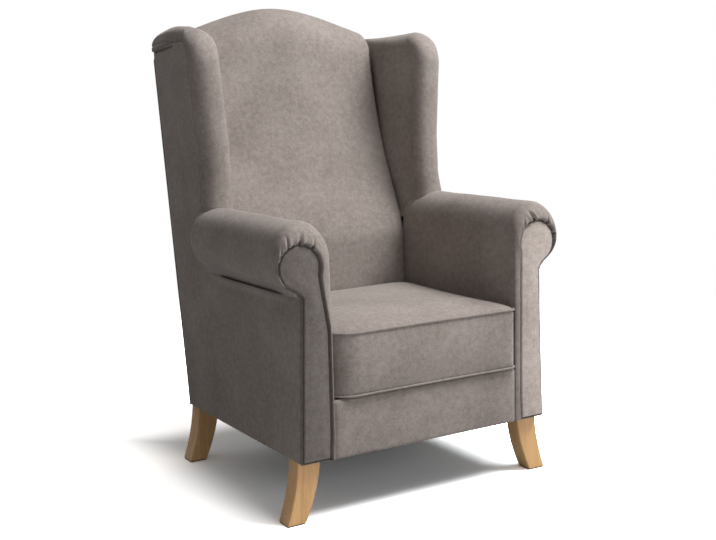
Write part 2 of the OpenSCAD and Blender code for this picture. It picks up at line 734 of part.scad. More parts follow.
// Loose cushion
piping_proud = 2;
cushion_half = arm_x - piping_proud - 2 * gap;
cushion_front_y = front_y - cushion_out;
cushion_back_y = inside_y - cushion_free;
cushion_d = cushion_back_y - cushion_front_y;
cushion_corner = 26;
cushion_low_z = deck_z + gap;
piping_rise = 1;
piping_low_z = cushion_low_z + piping_d / 2 + piping_rise;
piping_high_z = piping_low_z + border_h;
cushion_wall = 7;
corner_steps = 4;
cushion_hub = 2;
side_steps = 5;
function cushion_side(a, b, draw) = [for (k = [1:side_steps - 1])
    let (t = k / side_steps, d = unit(b - a), n = [-d[1], d[0]]) a + (b - a) * t + draw * sin(180 * t) * n];
function cushion_corner_arc(c, start) = [for (k = [0:corner_steps]) let (a = start + 90 * k / corner_steps)
    c + cushion_corner * [cos(a), sin(a)]];
function cushion_outline(draw) = let (
        hx = cushion_half - cushion_corner,
        y0 = cushion_front_y + cushion_corner, y1 = cushion_back_y - cushion_corner,
        arcs = [cushion_corner_arc([hx, y0], -90), cushion_corner_arc([hx, y1], 0),
            cushion_corner_arc([-hx, y1], 90), cushion_corner_arc([-hx, y0], 180)])
    [for (i = [0:3]) each concat(arcs[i],
        cushion_side(arcs[i][corner_steps], arcs[(i + 1) % 4][0], draw))];
cushion_mid = [0, (cushion_front_y + cushion_back_y) / 2];
// Rings of the cushion as [height, share of the outline, inset, swell of the front border]
groove = piping_d - piping_proud + gap;
groove_half = piping_d / 2 + gap;
crown_shares = [[0.985, 0.16], [0.93, 0.38], [0.84, 0.6], [0.68, 0.8], [0.45, 0.94], [0.2, 1]];
cushion_rings = concat(
    [[cushion_low_z, 0.96, 0, 0], [piping_low_z - groove_half, 1, groove, 0]],
    [[piping_low_z + groove_half, 1, groove, 0], [piping_low_z + groove_half, 1, 0, 0]],
    [for (s = [0.18, 0.5, 0.82]) [mix(piping_low_z, piping_high_z, s), 1, 0, sin(180 * s)]],
    [[piping_high_z - groove_half, 1, 0, 0], [piping_high_z - groove_half, 1, groove, 0]],
    [[piping_high_z + groove_half, 1, groove, 0]],
    [for (c = crown_shares) [piping_high_z + groove_half + crown_h * c[1], c[0], 0, 0]]);
function cushion_ring(r, d) = [for (p = inset(cushion_outline(side_draw), r[2] + d))
    let (front = clamp((cushion_mid[1] - p[1]) / cushion_d * 4 - 1),
         q = cushion_mid + (p - cushion_mid) * r[1])
    [q[0], q[1] - border_bulge * r[3] * front * (1 - pow(abs(q[0]) / cushion_half, 4)), r[0]]];
module cushion_form() {
    loft([for (r = cushion_rings) cushion_ring(r, 0)], hub = cushion_hub);
}
core_in = cushion_wall + gap;
ring_step = 0.2;
// The same rings without the grooves, drawn in by d
module cushion_inside(d) {
    inner = [for (r = cushion_rings) if (r[2] == 0) r];
    last = len(inner) - 1;
    low = cushion_low_z + d;
    high = piping_high_z + groove_half + crown_h - d;
    loft([for (i = [0:last]) let (r = inner[i],
            z = i == 0 ? low : i == last ? high : min(r[0], high - ring_step * (last - i)))
        cushion_ring([z, r[1], 0, r[3]], d)], hub = cushion_hub);
}

// Zip along the back border, in a placket of the cover
zip_half = 205;
zip_z = mix(piping_low_z, piping_high_z, 0.5);
zip_y = cushion_back_y - side_draw;
zip_deep = 7.5;
zip_high = 13;
placket_wall = 4;
zip_mouth = 3;
tape_t = 1;
teeth_w = 5;
teeth_t = 2.4;
slider_w = 9;
slider_l = 11;
slider_t = 1.2;
pull_l = 10;
zip_floor_y = zip_y - zip_deep;
module placket(grow) {
    box([-zip_half - 2 * placket_wall - grow, zip_floor_y - placket_wall - grow,
            zip_z - zip_high - placket_wall - grow],
        [zip_half + 2 * placket_wall + grow, zip_y - over, zip_z + zip_high + placket_wall + grow]);
}
module cushion_cover() {
    color(fabric) difference() {
        union() {
            difference() {
                cushion_form();
                cushion_inside(cushion_wall);
            }
            placket(0);
        }
        box([-zip_half - placket_wall, zip_floor_y, zip_z - zip_high],
            [zip_half + placket_wall, cushion_back_y + over, zip_z + zip_high]);
        box([-zip_half, zip_floor_y - placket_wall - over, zip_z - zip_mouth],
            [zip_half, cushion_back_y, zip_z + zip_mouth]);
    }
}
module cushion_core() {
    color(foam) difference() {
        cushion_inside(core_in);
        placket(gap);
        box([-zip_half - 2 * placket_wall - gap, zip_floor_y, zip_z - zip_high - placket_wall - gap],
            [zip_half + 2 * placket_wall + gap, cushion_back_y, zip_z + zip_high + placket_wall + gap]);
    }
}
module cushion_piping(z) {
    path = [for (p = inset(cushion_outline(side_draw), piping_d / 2 - piping_proud)) [p[0], p[1], z]];
    color(fabric_dark) tube(path, piping_d, sides = 6, closed = true);
}
module cushion_zip() {
    color([0.3, 0.28, 0.27]) {
        y = zip_floor_y + gap;
        box([-zip_half, y, zip_z - zip_high + gap], [zip_half, y + tape_t, zip_z + zip_high - gap]);
        box([-zip_half, y + tape_t, zip_z - teeth_w / 2], [zip_half, y + tape_t + teeth_t, zip_z + teeth_w / 2]);
    }
}
module zip_slider() {
    x = -zip_half + slider_l;
    y = zip_floor_y + gap + tape_t + gap;
    top = y + teeth_t + 2 * gap + slider_t - gap;
    color(steel) {
        difference() {
            box([x - slider_l / 2, y, zip_z - slider_w / 2], [x + slider_l / 2, top, zip_z + slider_w / 2]);
            box([x - slider_l, y - over, zip_z - teeth_w / 2 - gap],
                [x + slider_l, top - slider_t, zip_z + teeth_w / 2 + gap]);
        }
        box([x - slider_l / 4, top, zip_z - pull_l], [x + slider_l / 4, top + slider_t, zip_z + slider_w / 2]);
    }
}

// Curved leg, a plank sawn to a sabre shape and bent outwards to the side
leg_curve_shares = [0, 0.15, 0.3, 0.45, 0.6, 0.8, 1];
function leg_edge(top_x, foot_x, s) = top_x + (foot_x - top_x) * pow(1 - s, 1.7);
function leg_outline() = concat(
    [for (s = leg_curve_shares) [leg_edge(leg_out_x, foot_out_x, s), mix(glide_t, bottom_z, s)]],
    [for (i = [len(leg_curve_shares) - 1:-1:0]) let (s = leg_curve_shares[i])
        [leg_edge(leg_in_x, foot_out_x - leg_foot_w, s), mix(glide_t, bottom_z, s)]]);
module leg(y) {
    color(beech) difference() {
        front_prism(leg_outline(), y, y + leg_t);
        translate([bolt_x, y + leg_t / 2, bottom_z - bolt_deep])
            cylinder(h = bolt_deep + over, d = bolt_d + gap, $fn = round_sides);
    }
}
module leg_bolts() {
    color(steel) at_legs() translate([0, 0, bottom_z - bolt_deep + bolt_tip])
        cylinder(h = bolt_top_z - bottom_z + bolt_deep - bolt_tip, d = bolt_d, $fn = round_sides);
}
module tee_nuts() {
    color(steel) at_legs() difference() {
        union() {
            translate([0, 0, block_z + over]) cylinder(h = rail_z - block_z, r = tee_barrel_r, $fn = round_sides);
            translate([0, 0, rail_z + gap / 2]) cylinder(h = tee_flange_t, r = tee_r, $fn = round_sides);
        }
        translate([0, 0, block_z]) cylinder(h = block_t + 4 * over, d = bolt_d + gap / 2, $fn = round_sides);
    }
}
module leg_glides() {
    color([0.2, 0.17, 0.15]) for (place = leg_places)
        mirror([place[0] < 0 ? 1 : 0, 0, 0])
            box([foot_out_x - leg_foot_w + glide_in, place[1] + glide_in, 0],
                [foot_out_x - glide_in, place[1] + leg_t - glide_in, glide_t]);
}

seat_front_rail();
seat_back_rail();
left() seat_side_rail();  // seat_side_rail_left
seat_side_rail();  // seat_side_rail_right
leg_blocks();
left() arm_post();  // arm_post_left
arm_post();  // arm_post_right
left() arm_rail();  // arm_rail_left
arm_rail();  // arm_rail_right
left() inner_arm_board();  // inner_arm_board_left
inner_arm_board();  // inner_arm_board_right
left() back_post();  // back_post_left
back_post();  // back_post_right
crest_rail();
lumbar_rail();
left() wing_board();  // wing_board_left
wing_board();  // wing_board_right
frame_dowels();
seat_springs();
spring_clips();
spring_felt();
seat_deck();
back_webbing();
back_pad();
left() arm_pad();  // arm_pad_left
arm_pad();  // arm_pad_right
left() wing_pad();  // wing_pad_left
wing_pad();  // wing_pad_right
inside_back_cover();
outside_back_panel();
left() side_panel();  // side_panel_left
side_panel();  // side_panel_right
left() arm_cover();  // arm_cover_left
arm_cover();  // arm_cover_right
left() arm_facing();  // arm_facing_left
arm_facing();  // arm_facing_right
left() arm_piping();  // arm_piping_left
arm_piping();  // arm_piping_right
left() wing_cover();  // wing_cover_left
wing_cover();  // wing_cover_right
front_border();
dust_cover();
cushion_cover();
cushion_core();
cushion_piping(piping_high_z);  // cushion_piping_top
cushion_piping(piping_low_z);  // cushion_piping_bottom
cushion_zip();
zip_slider();
left() leg(leg_front_y);  // leg_front_left
leg(leg_front_y);  // leg_front_right
left() leg(leg_rear_y);  // leg_rear_left
leg(leg_rear_y);  // leg_rear_right
leg_bolts();
tee_nuts();
leg_glides();
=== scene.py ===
import json
import math

import bmesh
import bpy
import numpy as np
from mathutils import Matrix, Vector


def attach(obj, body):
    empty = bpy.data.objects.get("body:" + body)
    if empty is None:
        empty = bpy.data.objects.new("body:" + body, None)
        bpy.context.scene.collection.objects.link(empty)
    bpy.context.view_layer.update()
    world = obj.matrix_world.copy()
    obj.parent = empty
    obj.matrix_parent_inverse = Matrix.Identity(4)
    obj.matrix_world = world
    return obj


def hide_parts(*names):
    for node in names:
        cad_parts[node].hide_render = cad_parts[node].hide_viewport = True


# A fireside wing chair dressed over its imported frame. Metres, +Z is up, the sitter faces -Y.
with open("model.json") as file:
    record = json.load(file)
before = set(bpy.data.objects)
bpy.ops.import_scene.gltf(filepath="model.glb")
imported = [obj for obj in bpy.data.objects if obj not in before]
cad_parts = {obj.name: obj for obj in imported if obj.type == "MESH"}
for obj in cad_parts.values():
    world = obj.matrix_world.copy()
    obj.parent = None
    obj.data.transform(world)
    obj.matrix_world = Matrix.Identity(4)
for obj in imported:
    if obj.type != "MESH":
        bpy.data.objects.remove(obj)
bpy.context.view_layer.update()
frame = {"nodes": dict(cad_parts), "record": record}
print("frame loaded with", len(frame["nodes"]), "nodes")

# Places that the pieces share, the same as in the part's source
chair = {
    "frontY": -0.39404,
    "bodyDepth": 0.644,
    "rake": 8.8,
    "bottomZ": 0.148,
    "deckZ": 0.287,
    "lumbarZ": 0.570,
    "neckZ": 0.531,
    "wingZ": 1.143,
    "crestZ": 1.216,
    "armX": 0.262,
    "sideX": 0.350,
    "waistIn": 0.013,
    "panelBack": 0.0083,     # the side panels start this far behind the front plane
    "rollDepth": 0.502,
    "fit": 0.0003,
    "backPanel": 0.0053,
}
neckX = chair["sideX"] - chair["waistIn"]
rollEndY = chair["frontY"] + chair["rollDepth"]
armFrontY = chair["frontY"] + chair["panelBack"]
lowRearY = chair["frontY"] + chair["bodyDepth"]


def mix(a, b, t):
    return a + (b - a) * t


def clamp(t):
    return min(1.0, max(0.0, t))


def ease(t):
    t = np.clip(t, 0, 1)
    return t * t * (3 - 2 * t)


def fade(value, span):  # 0 up to the span's start, then smoothly to 1 over its length
    start, over = span
    return ease((value - start) / over)


def bump(distance, wide):  # 1 in the middle, falling away on both sides
    return np.exp(-(distance / wide) ** 2)


def unit(vectors):  # each vector at a length of 1
    return vectors / np.maximum(np.linalg.norm(vectors, axis=-1, keepdims=True), 1e-9)


def quarterTurn(count, first=0):  # angles from 0 to a right angle
    return np.linspace(0, math.pi / 2, count)[first:]


def roundedOff(distance, radius):  # how far a surface turns in at this distance from its edge
    near = radius - min(max(distance, 0.0), radius)
    return radius - math.sqrt(radius ** 2 - near ** 2)


def rearY(z):  # the leaning outside back
    return lowRearY + (z - chair["bottomZ"]) * math.tan(math.radians(chair["rake"]))


def sideAt(z):  # outer edge of the body below the arm roll
    up = clamp((z - chair["bottomZ"]) / (chair["neckZ"] - chair["bottomZ"]))
    return chair["sideX"] - chair["waistIn"] * up


def ripple(points, size, seed):  # soft unevenness, mostly within -1 and 1, the same on every run
    random = np.random.default_rng(seed)
    total, waves = np.zeros(len(points)), 9
    for _ in range(waves):
        way = random.normal(size=3)
        way *= random.uniform(0.6, 1.5) * 2 * math.pi / size / np.linalg.norm(way)
        total += np.sin(points @ way + random.uniform(0, 2 * math.pi))
    return total / (waves / 2)


def makeObject(name, points, faces, sharp=None):
    mesh = bpy.data.meshes.new(name)
    mesh.from_pydata([tuple(float(v) for v in p) for p in points], [], faces)
    work = bmesh.new()
    work.from_mesh(mesh)
    bmesh.ops.recalc_face_normals(work, faces=work.faces)
    work.to_mesh(mesh)
    work.free()
    mesh.shade_smooth()
    if sharp:
        mesh.set_sharp_from_angle(angle=math.radians(sharp))
    made = bpy.data.objects.new(name, mesh)
    bpy.context.collection.objects.link(made)
    return made


def ringFaces(rows, around, start=0, closed=False):
    faces = []
    for i in range(rows if closed else rows - 1):
        here, there = start + i * around, start + (i + 1) % rows * around
        faces += [(here + j, here + (j + 1) % around, there + (j + 1) % around, there + j)
                  for j in range(around)]
    return faces


def fromRings(name, rings, ends=(True, True), sharp=None):  # a skin through closed rings of points
    rings = np.array(rings, float)
    rows, around = rings.shape[:2]
    points = rings.reshape(-1, 3).tolist()
    faces = ringFaces(rows, around)
    for row, closed in ((0, ends[0]), (rows - 1, ends[1])):
        first = row * around
        if closed == "strip":   # joined straight across, the first point to the last
            faces += [(first + j, first + j + 1, first + around - 2 - j, first + around - 1 - j)
                      for j in range(around // 2 - 1)]
        elif closed:
            points.append(rings[row].mean(0).tolist())
            faces += [(len(points) - 1, first + (j + 1) % around, first + j) for j in range(around)]
    return makeObject(name, points, faces, sharp)


def gridFaces(rows, across, start=0):
    corners = [start + i * across + j for i in range(rows - 1) for j in range(across - 1)]
    return [(k, k + 1, k + across + 1, k + across) for k in corners]


def thicken(made, thick):  # a cloth is given its thickness inwards
    body = made.modifiers.new("clothThickness", "SOLIDIFY")
    body.thickness = thick
    body.offset = -1
    return made


def fromGrid(name, grid, thick=0.0):  # an open cloth
    grid = np.array(grid, float)
    made = makeObject(name, grid.reshape(-1, 3), gridFaces(*grid.shape[:2]))
    return thicken(made, thick) if thick else made


def tube(name, path, radius, sides=14):  # a cord round a closed path that lies in one plane
    path = np.array(path, float)
    up = np.eye(3)[np.ptp(path, axis=0).argmin()]
    turn = np.arange(sides)[:, None] * 2 * math.pi / sides
    rings = []
    for before, middle, after in zip(np.roll(path, 1, axis=0), path, np.roll(path, -1, axis=0)):
        along = unit(after - before)
        u = unit(np.cross(along, up))
        rings.append(middle + radius * (np.cos(turn) * u + np.sin(turn) * np.cross(along, u)))
    return makeObject(name, np.reshape(rings, (-1, 3)), ringFaces(len(path), sides, closed=True))


def mirrored(points, side):
    return np.array(points, float) * np.array([side, 1, 1])


def resample(line, step):  # points spaced evenly along a polyline
    line = np.array(line, float)
    run = np.concatenate([[0], np.cumsum(np.linalg.norm(np.diff(line, axis=0), axis=1))])
    where = np.linspace(0, run[-1], max(2, round(run[-1] / step) + 1))
    return np.stack([np.interp(where, run, line[:, k]) for k in range(line.shape[1])], axis=1)


def soften(line, reach):  # rounds the corners of an evenly spaced open line, and keeps its two ends
    padded = np.concatenate([2 * line[0] - line[reach:0:-1], line, 2 * line[-1] - line[-2:-reach - 2:-1]])
    weights = np.hanning(2 * reach + 3)[1:-1]
    weights /= weights.sum()
    return np.stack([np.convolve(padded[:, k], weights, "valid") for k in range(line.shape[1])], axis=1)


# Finishes
class Wire:  # a value inside a material, so that sums of values can be written as sums
    def __init__(self, tree, socket):
        self.tree = tree
        self.socket = socket

    def reckon(self, operation, first, second):
        step = self.tree.nodes.new("ShaderNodeMath")
        step.operation = operation
        for place, value in zip(step.inputs, (first, second)):
            if isinstance(value, Wire):
                self.tree.links.new(value.socket, place)
            else:
                place.default_value = value
        return Wire(self.tree, step.outputs[0])

    def __add__(self, other):
        return self.reckon("ADD", self, other)

    def __sub__(self, other):
        return self.reckon("SUBTRACT", self, other)

    def __rsub__(self, other):
        return self.reckon("SUBTRACT", other, self)

    def __mul__(self, other):
        return self.reckon("MULTIPLY", self, other)

    __radd__ = __add__
    __rmul__ = __mul__


class Finish:  # one material, or the room's light, and the nodes that it is made of
    def __init__(self, name, owner=None):
        self.owner = owner or bpy.data.materials.new(name)
        self.owner.use_nodes = True
        self.tree = self.owner.node_tree
        self.shader = self.tree.nodes.get("Principled BSDF")

    def node(self, kind, settings=None, sockets=None, give=0):
        made = self.tree.nodes.new(kind)
        for key, value in (settings or {}).items():
            if key == "stops":
                while len(made.color_ramp.elements) < len(value):
                    made.color_ramp.elements.new(0.5)
                for stop, (place, colour) in zip(made.color_ramp.elements, value):
                    stop.position = place
                    stop.color = (*colour, 1)
            else:
                setattr(made, key, value)
        for key, value in (sockets or {}).items():
            if isinstance(value, Wire):
                self.tree.links.new(value.socket, made.inputs[key])
            else:
                made.inputs[key].default_value = value
        return Wire(self.tree, made.outputs[give])

    def place(self, scale=(1, 1, 1)):  # where on the piece, stretched by scale
        here = self.node("ShaderNodeTexCoord", give="Object")
        if scale == (1, 1, 1):
            return here
        return self.node("ShaderNodeVectorMath", {"operation": "MULTIPLY"}, {0: here, 1: scale})

    def cloud(self, where, scale, detail=2.0, rough=0.5, swirl=0.0):
        sockets = {"Vector": where, "Scale": scale, "Detail": detail, "Roughness": rough, "Distortion": swirl}
        return self.node("ShaderNodeTexNoise", {"noise_dimensions": "3D"}, sockets)

    def ramp(self, value, stops):
        return self.node("ShaderNodeValToRGB", {"stops": stops}, {"Fac": value})

    def blend(self, amount, first, second):
        sockets = {0: amount, 6: first, 7: second}   # the node's colour sockets
        return self.node("ShaderNodeMix", {"data_type": "RGBA", "blend_type": "MIX"}, sockets, 2)

    def relief(self, height, deep, strength=1.0):
        return self.node("ShaderNodeBump", {}, {"Height": height, "Distance": deep, "Strength": strength})

    def finish(self, **sockets):  # names in camelCase, such as baseColor
        for key, value in sockets.items():
            spaced = "".join(" " + letter if letter.isupper() else letter for letter in key)
            name = "Specular IOR Level" if key == "specular" else spaced.title()
            if isinstance(value, Wire):
                self.tree.links.new(value.socket, self.shader.inputs[name])
            else:
                self.shader.inputs[name].default_value = value
        return self.owner


velour = {
    "dark": (0.200, 0.171, 0.154),
    "mid": (0.256, 0.222, 0.203),
    "light": (0.318, 0.280, 0.259),
    "blotch": 8.0,      # soft patches about 12 cm across
    "stroke": 75.0,     # brushed nap, about 1.3 cm
    "grain": 190.0,     # chenille grain, about 5 mm
    "fibre": 560.0,     # the pile itself
    "relief": 0.0005,
    # the piping is a little darker than the rest: painted shade for the shade along its seams
    "pipingPaintedShade": 0.92,
    "facingPaintedLight": {1: 1.75, -1: 0.54},   # painted light and shade: the right facing's velour is lightened and the left one's darkened, standing for how light falls on them
    "seamPaintedShade": 0.42,                  # the piping round them is darkened into a line: painted shade for the groove it sits in
}


def velourFinish(name, shade=1.0):
    made = Finish(name)
    here = made.place()
    strokes = made.cloud(here, velour["stroke"], 5.0, 0.62)
    blotches = made.cloud(here, velour["blotch"], 3.0, 0.5)
    grain = made.cloud(here, velour["grain"], 3.0, 0.6)
    fibres = made.cloud(here, velour["fibre"], 2.0, 0.7)
    nap = blotches * 0.26 + strokes * 0.34 + grain * 0.28 + fibres * 0.12
    # a shade above 1 lightens the tones (painted light), below 1 darkens them (painted shade)
    tones = [[c * shade for c in velour[key]] for key in ("dark", "mid", "light")]
    colour = made.ramp(nap, list(zip((0.39, 0.5, 0.61), tones)))
    height = strokes * 0.2 + grain * 0.35 + fibres * 0.45
    return made.finish(baseColor=colour, roughness=0.86 + 0.1 * (1 - strokes),
                       normal=made.relief(height, velour["relief"], 0.5),
                       sheenWeight=0.25, sheenRoughness=0.45, sheenTint=(0.93, 0.9, 0.88, 1), specular=0.2)


beech = {"pale": (0.70, 0.42, 0.185), "honey": (0.54, 0.30, 0.112), "dark": (0.40, 0.215, 0.080)}


def beechFinish(name):  # clear lacquered beech, grain along the leg
    made = Finish(name)
    rings = made.cloud(made.place((38, 38, 2.6)), 1.0, 3.0, 0.55, 0.6)
    streaks = made.cloud(made.place((190, 190, 9)), 1.0, 3.0, 0.6, 0.2)
    flecks = made.cloud(made.place((650, 650, 55)), 1.0, 1.0, 0.5)
    tone = rings * 0.6 + streaks * 0.4
    colour = made.ramp(tone, [(0.34, beech["honey"]), (0.55, beech["pale"]), (0.72, beech["honey"])])
    fleckMask = made.ramp(flecks, [(0.62, (0, 0, 0)), (0.70, (0.5, 0.5, 0.5))])
    colour = made.blend(fleckMask, colour, (*beech["dark"], 1))
    return made.finish(baseColor=colour, roughness=0.34 + 0.14 * streaks,
                       normal=made.relief(streaks, 0.0002, 0.35), coatWeight=0.35, coatRoughness=0.22)


def softwoodFinish(name, pale, dark, grain=(3, 60, 60), rough=0.75):  # sawn and unfinished
    made = Finish(name)
    bands = made.cloud(made.place(grain), 1.0, 3.0, 0.6, 0.5)
    saw = made.cloud(made.place(tuple(g * 7 for g in grain)), 1.0, 2.0, 0.6)
    colour = made.ramp(bands * 0.75 + saw * 0.25, [(0.35, dark), (0.62, pale)])
    return made.finish(baseColor=colour, roughness=rough, normal=made.relief(saw, 0.0004, 0.5))


def boardFinish(name):  # fibreboard, fine flecks
    made = Finish(name)
    fibres = made.cloud(made.place(), 900.0, 3.0, 0.7)
    colour = made.ramp(fibres, [(0.35, (0.36, 0.25, 0.15)), (0.65, (0.52, 0.38, 0.24))])
    return made.finish(baseColor=colour, roughness=0.85, normal=made.relief(fibres, 0.0002, 0.5))


def clothFinish(name, dark, light, threads, rough=0.9, fuzz=0.15):  # a plain woven cloth
    made = Finish(name)
    weave = made.cloud(made.place(), 60.0, 3.0) * 0.3
    for way, scale in (("X", (1, 1, 1)), ("DIAGONAL", (0, 1, 1))):
        bands = {"wave_type": "BANDS", "bands_direction": way, "wave_profile": "SIN"}
        sockets = {"Vector": made.place(scale), "Scale": threads, "Distortion": 0.6, "Detail": 1.0}
        weave = weave + 0.35 * made.node("ShaderNodeTexWave", bands, sockets)
    colour = made.ramp(weave, [(0.25, dark), (0.75, light)])
    return made.finish(baseColor=colour, roughness=rough, normal=made.relief(weave, 0.0004, 0.6),
                       sheenWeight=fuzz)


def feltFinish(name):  # grey recycled fibres with coloured flecks
    made = Finish(name)
    fibres = made.cloud(made.place((1, 1, 3)), 380.0, 5.0, 0.75, 1.2)
    flecks = made.cloud(made.place(), 160.0, 2.0, 0.5)
    greys = [(0.3, (0.10, 0.10, 0.11)), (0.55, (0.30, 0.30, 0.32)), (0.75, (0.55, 0.54, 0.52))]
    colour = made.ramp(fibres, greys)
    fleckMask = made.ramp(flecks, [(0.66, (0, 0, 0)), (0.7, (0.6, 0.6, 0.6))])
    colour = made.blend(fleckMask, colour, (0.32, 0.14, 0.10, 1))
    return made.finish(baseColor=colour, roughness=0.97, normal=made.relief(fibres, 0.0012, 0.8),
                       sheenWeight=0.2)


def metalFinish(name, colour, rough, brushed=400.0):
    made = Finish(name)
    lines = made.cloud(made.place((brushed, brushed, brushed / 12)), 1.0, 2.0, 0.6)
    tone = made.ramp(lines, [(0.3, [c * 0.82 for c in colour]), (0.7, colour)])
    return made.finish(baseColor=tone, metallic=1.0, roughness=rough + 0.15 * lines,
                       normal=made.relief(lines, 0.00005, 0.3))


def plasticFinish(name):  # black moulded glide
    made = Finish(name)
    grain = made.cloud(made.place(), 700.0, 2.0, 0.6)
    colour = made.ramp(grain, [(0.3, (0.012, 0.010, 0.009)), (0.7, (0.030, 0.026, 0.023))])
    return made.finish(baseColor=colour, roughness=0.5 + 0.2 * grain, normal=made.relief(grain, 0.0001, 0.4))


finishes = {
    "upholstery": velourFinish("taupeVelour"),
    "piping": velourFinish("taupeVelourPiping", velour["pipingPaintedShade"]),
    "pine": softwoodFinish("sawnPine", (0.74, 0.55, 0.33), (0.55, 0.36, 0.18)),
    "board": boardFinish("fibreboard"),
    "beech_dowel": softwoodFinish("beechDowel", (0.66, 0.45, 0.27), (0.50, 0.32, 0.18), (30, 30, 30)),
    "spring_steel": metalFinish("springSteel", (0.36, 0.36, 0.38), 0.38),
    "felt": feltFinish("springFelt"),
    "webbing": clothFinish("backWebbing", (0.020, 0.018, 0.017), (0.085, 0.080, 0.075), 260.0),
    "lining": clothFinish("blackLining", (0.006, 0.006, 0.006), (0.030, 0.029, 0.028), 420.0),
    "zip_tape": clothFinish("zipTape", (0.016, 0.014, 0.012), (0.060, 0.054, 0.048), 500.0),
    "zip_metal": metalFinish("zipNickel", (0.62, 0.61, 0.60), 0.28),
    "beech": beechFinish("lacqueredBeech"),
    "zinc_steel": metalFinish("zincPlatedSteel", (0.58, 0.60, 0.64), 0.32),
    "glide": plasticFinish("blackGlide"),
    "foam": clothFinish("creamFoam", (0.62, 0.55, 0.36), (0.80, 0.74, 0.55), 300.0, 0.95, 0.0),
}
# lit and shaded copies of the velour for the right and left facings: painted light and painted shade
paintedFacingFinishes = {1: velourFinish("taupeVelourPaintedLight", velour["facingPaintedLight"][1]),
               -1: velourFinish("taupeVelourPaintedShade", velour["facingPaintedLight"][-1])}
# darkened copy of the velour for the facings' piping: painted shade
seamShadeFinish = velourFinish("taupeVelourSeamShade", velour["seamPaintedShade"])
nodeSlots = {part["node"]: part["material_slot"] for part in frame["record"]["subparts"]}
for nodeName, node in frame["nodes"].items():
    node.data.materials.clear()
    node.data.materials.append(finishes[nodeSlots[nodeName]])
print("finishes made:", len(finishes))


def dress(made, slotName, body, *nodes):  # its finish, the body it moves with, and the nodes it stands for
    made.data.materials.clear()
    made.data.materials.append(finishes[slotName])
    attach(made, body)
    if nodes:
        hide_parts(*nodes)
    return made


# Arm facings: the flat scroll panels at the fronts of the arms
facing = {
    "innerX": {1: 0.2765, -1: 0.2672},   # inner edge of the panel; the two differ a little, as handwork does
    "scrollX": {1: 0.3300, -1: 0.3400},
    "scrollZ": 0.599,
    "scrollRadius": {1: 0.0565, -1: 0.0545},
    "scrollNeck": 0.015,     # how far outside the waist the scroll begins
    "innerTurn": 0.35,       # how far round the scroll runs on down the inner side
    "outShift": {1: 0.0035, -1: -0.0010},
    "bottomFlare": 0.003, "flareHigh": 0.06, "straightZ": 0.45,
    "pointStep": 0.001, "smoothing": 11,
    "pipingRadius": 0.0020,
    "pipingBack": 0.0078,    # the piping's middle, behind the front plane of the body
    "pipingStep": 0.004, "pipingGap": 0.003, "pipingRise": 0.0005,
    "edgeBack": 0.0070,      # the panel's own edge, behind the same plane
    "edgeGap": 0.0012,
    "rearBack": 0.0115,
    "edgeRise": 0.0056,      # how far the padding stands up at the edge
    "edgeRound": 0.0034,
    "crown": 0.0024, "crownReach": 0.024,
    "slack": 0.0005, "slackSize": 0.09, "slackReach": 0.02,
    "evenShare": 0.7,        # above this share of its height the rows draw together
}
sideNames = {1: "Right", -1: "Left"}
cadSides = {1: "_right", -1: "_left"}


def facingEdges(side):  # outer and inner edge lines, each from the bottom up to the top of the scroll
    r, cx, cz = facing["scrollRadius"][side], facing["scrollX"][side], facing["scrollZ"]
    low, innerX = chair["bottomZ"], facing["innerX"][side]

    def scroll(start, count):
        return [[cx + r * math.cos(a), cz + r * math.sin(a)] for a in np.linspace(start, math.pi / 2, count)]

    outer = [[sideAt(z) + facing["outShift"][side], z] for z in np.linspace(low, chair["neckZ"], 40)]
    outer += scroll(-math.acos((neckX + facing["scrollNeck"] - cx) / r), 60)
    inner = [[innerX + facing["bottomFlare"], low]]
    inner += [[innerX, z] for z in (low + facing["flareHigh"], facing["straightZ"])]
    inner += scroll(math.pi + facing["innerTurn"], 40)
    return [soften(resample(line, facing["pointStep"]), facing["smoothing"]) for line in (outer, inner)]


facingLines = {side: facingEdges(side) for side in (1, -1)}


def pushedIn(outline, depth):  # every point of a closed outline moved inwards, square to it
    along = unit(np.roll(outline, -1, axis=0) - np.roll(outline, 1, axis=0))
    return outline + depth * np.stack([-along[:, 1], along[:, 0]], axis=1)


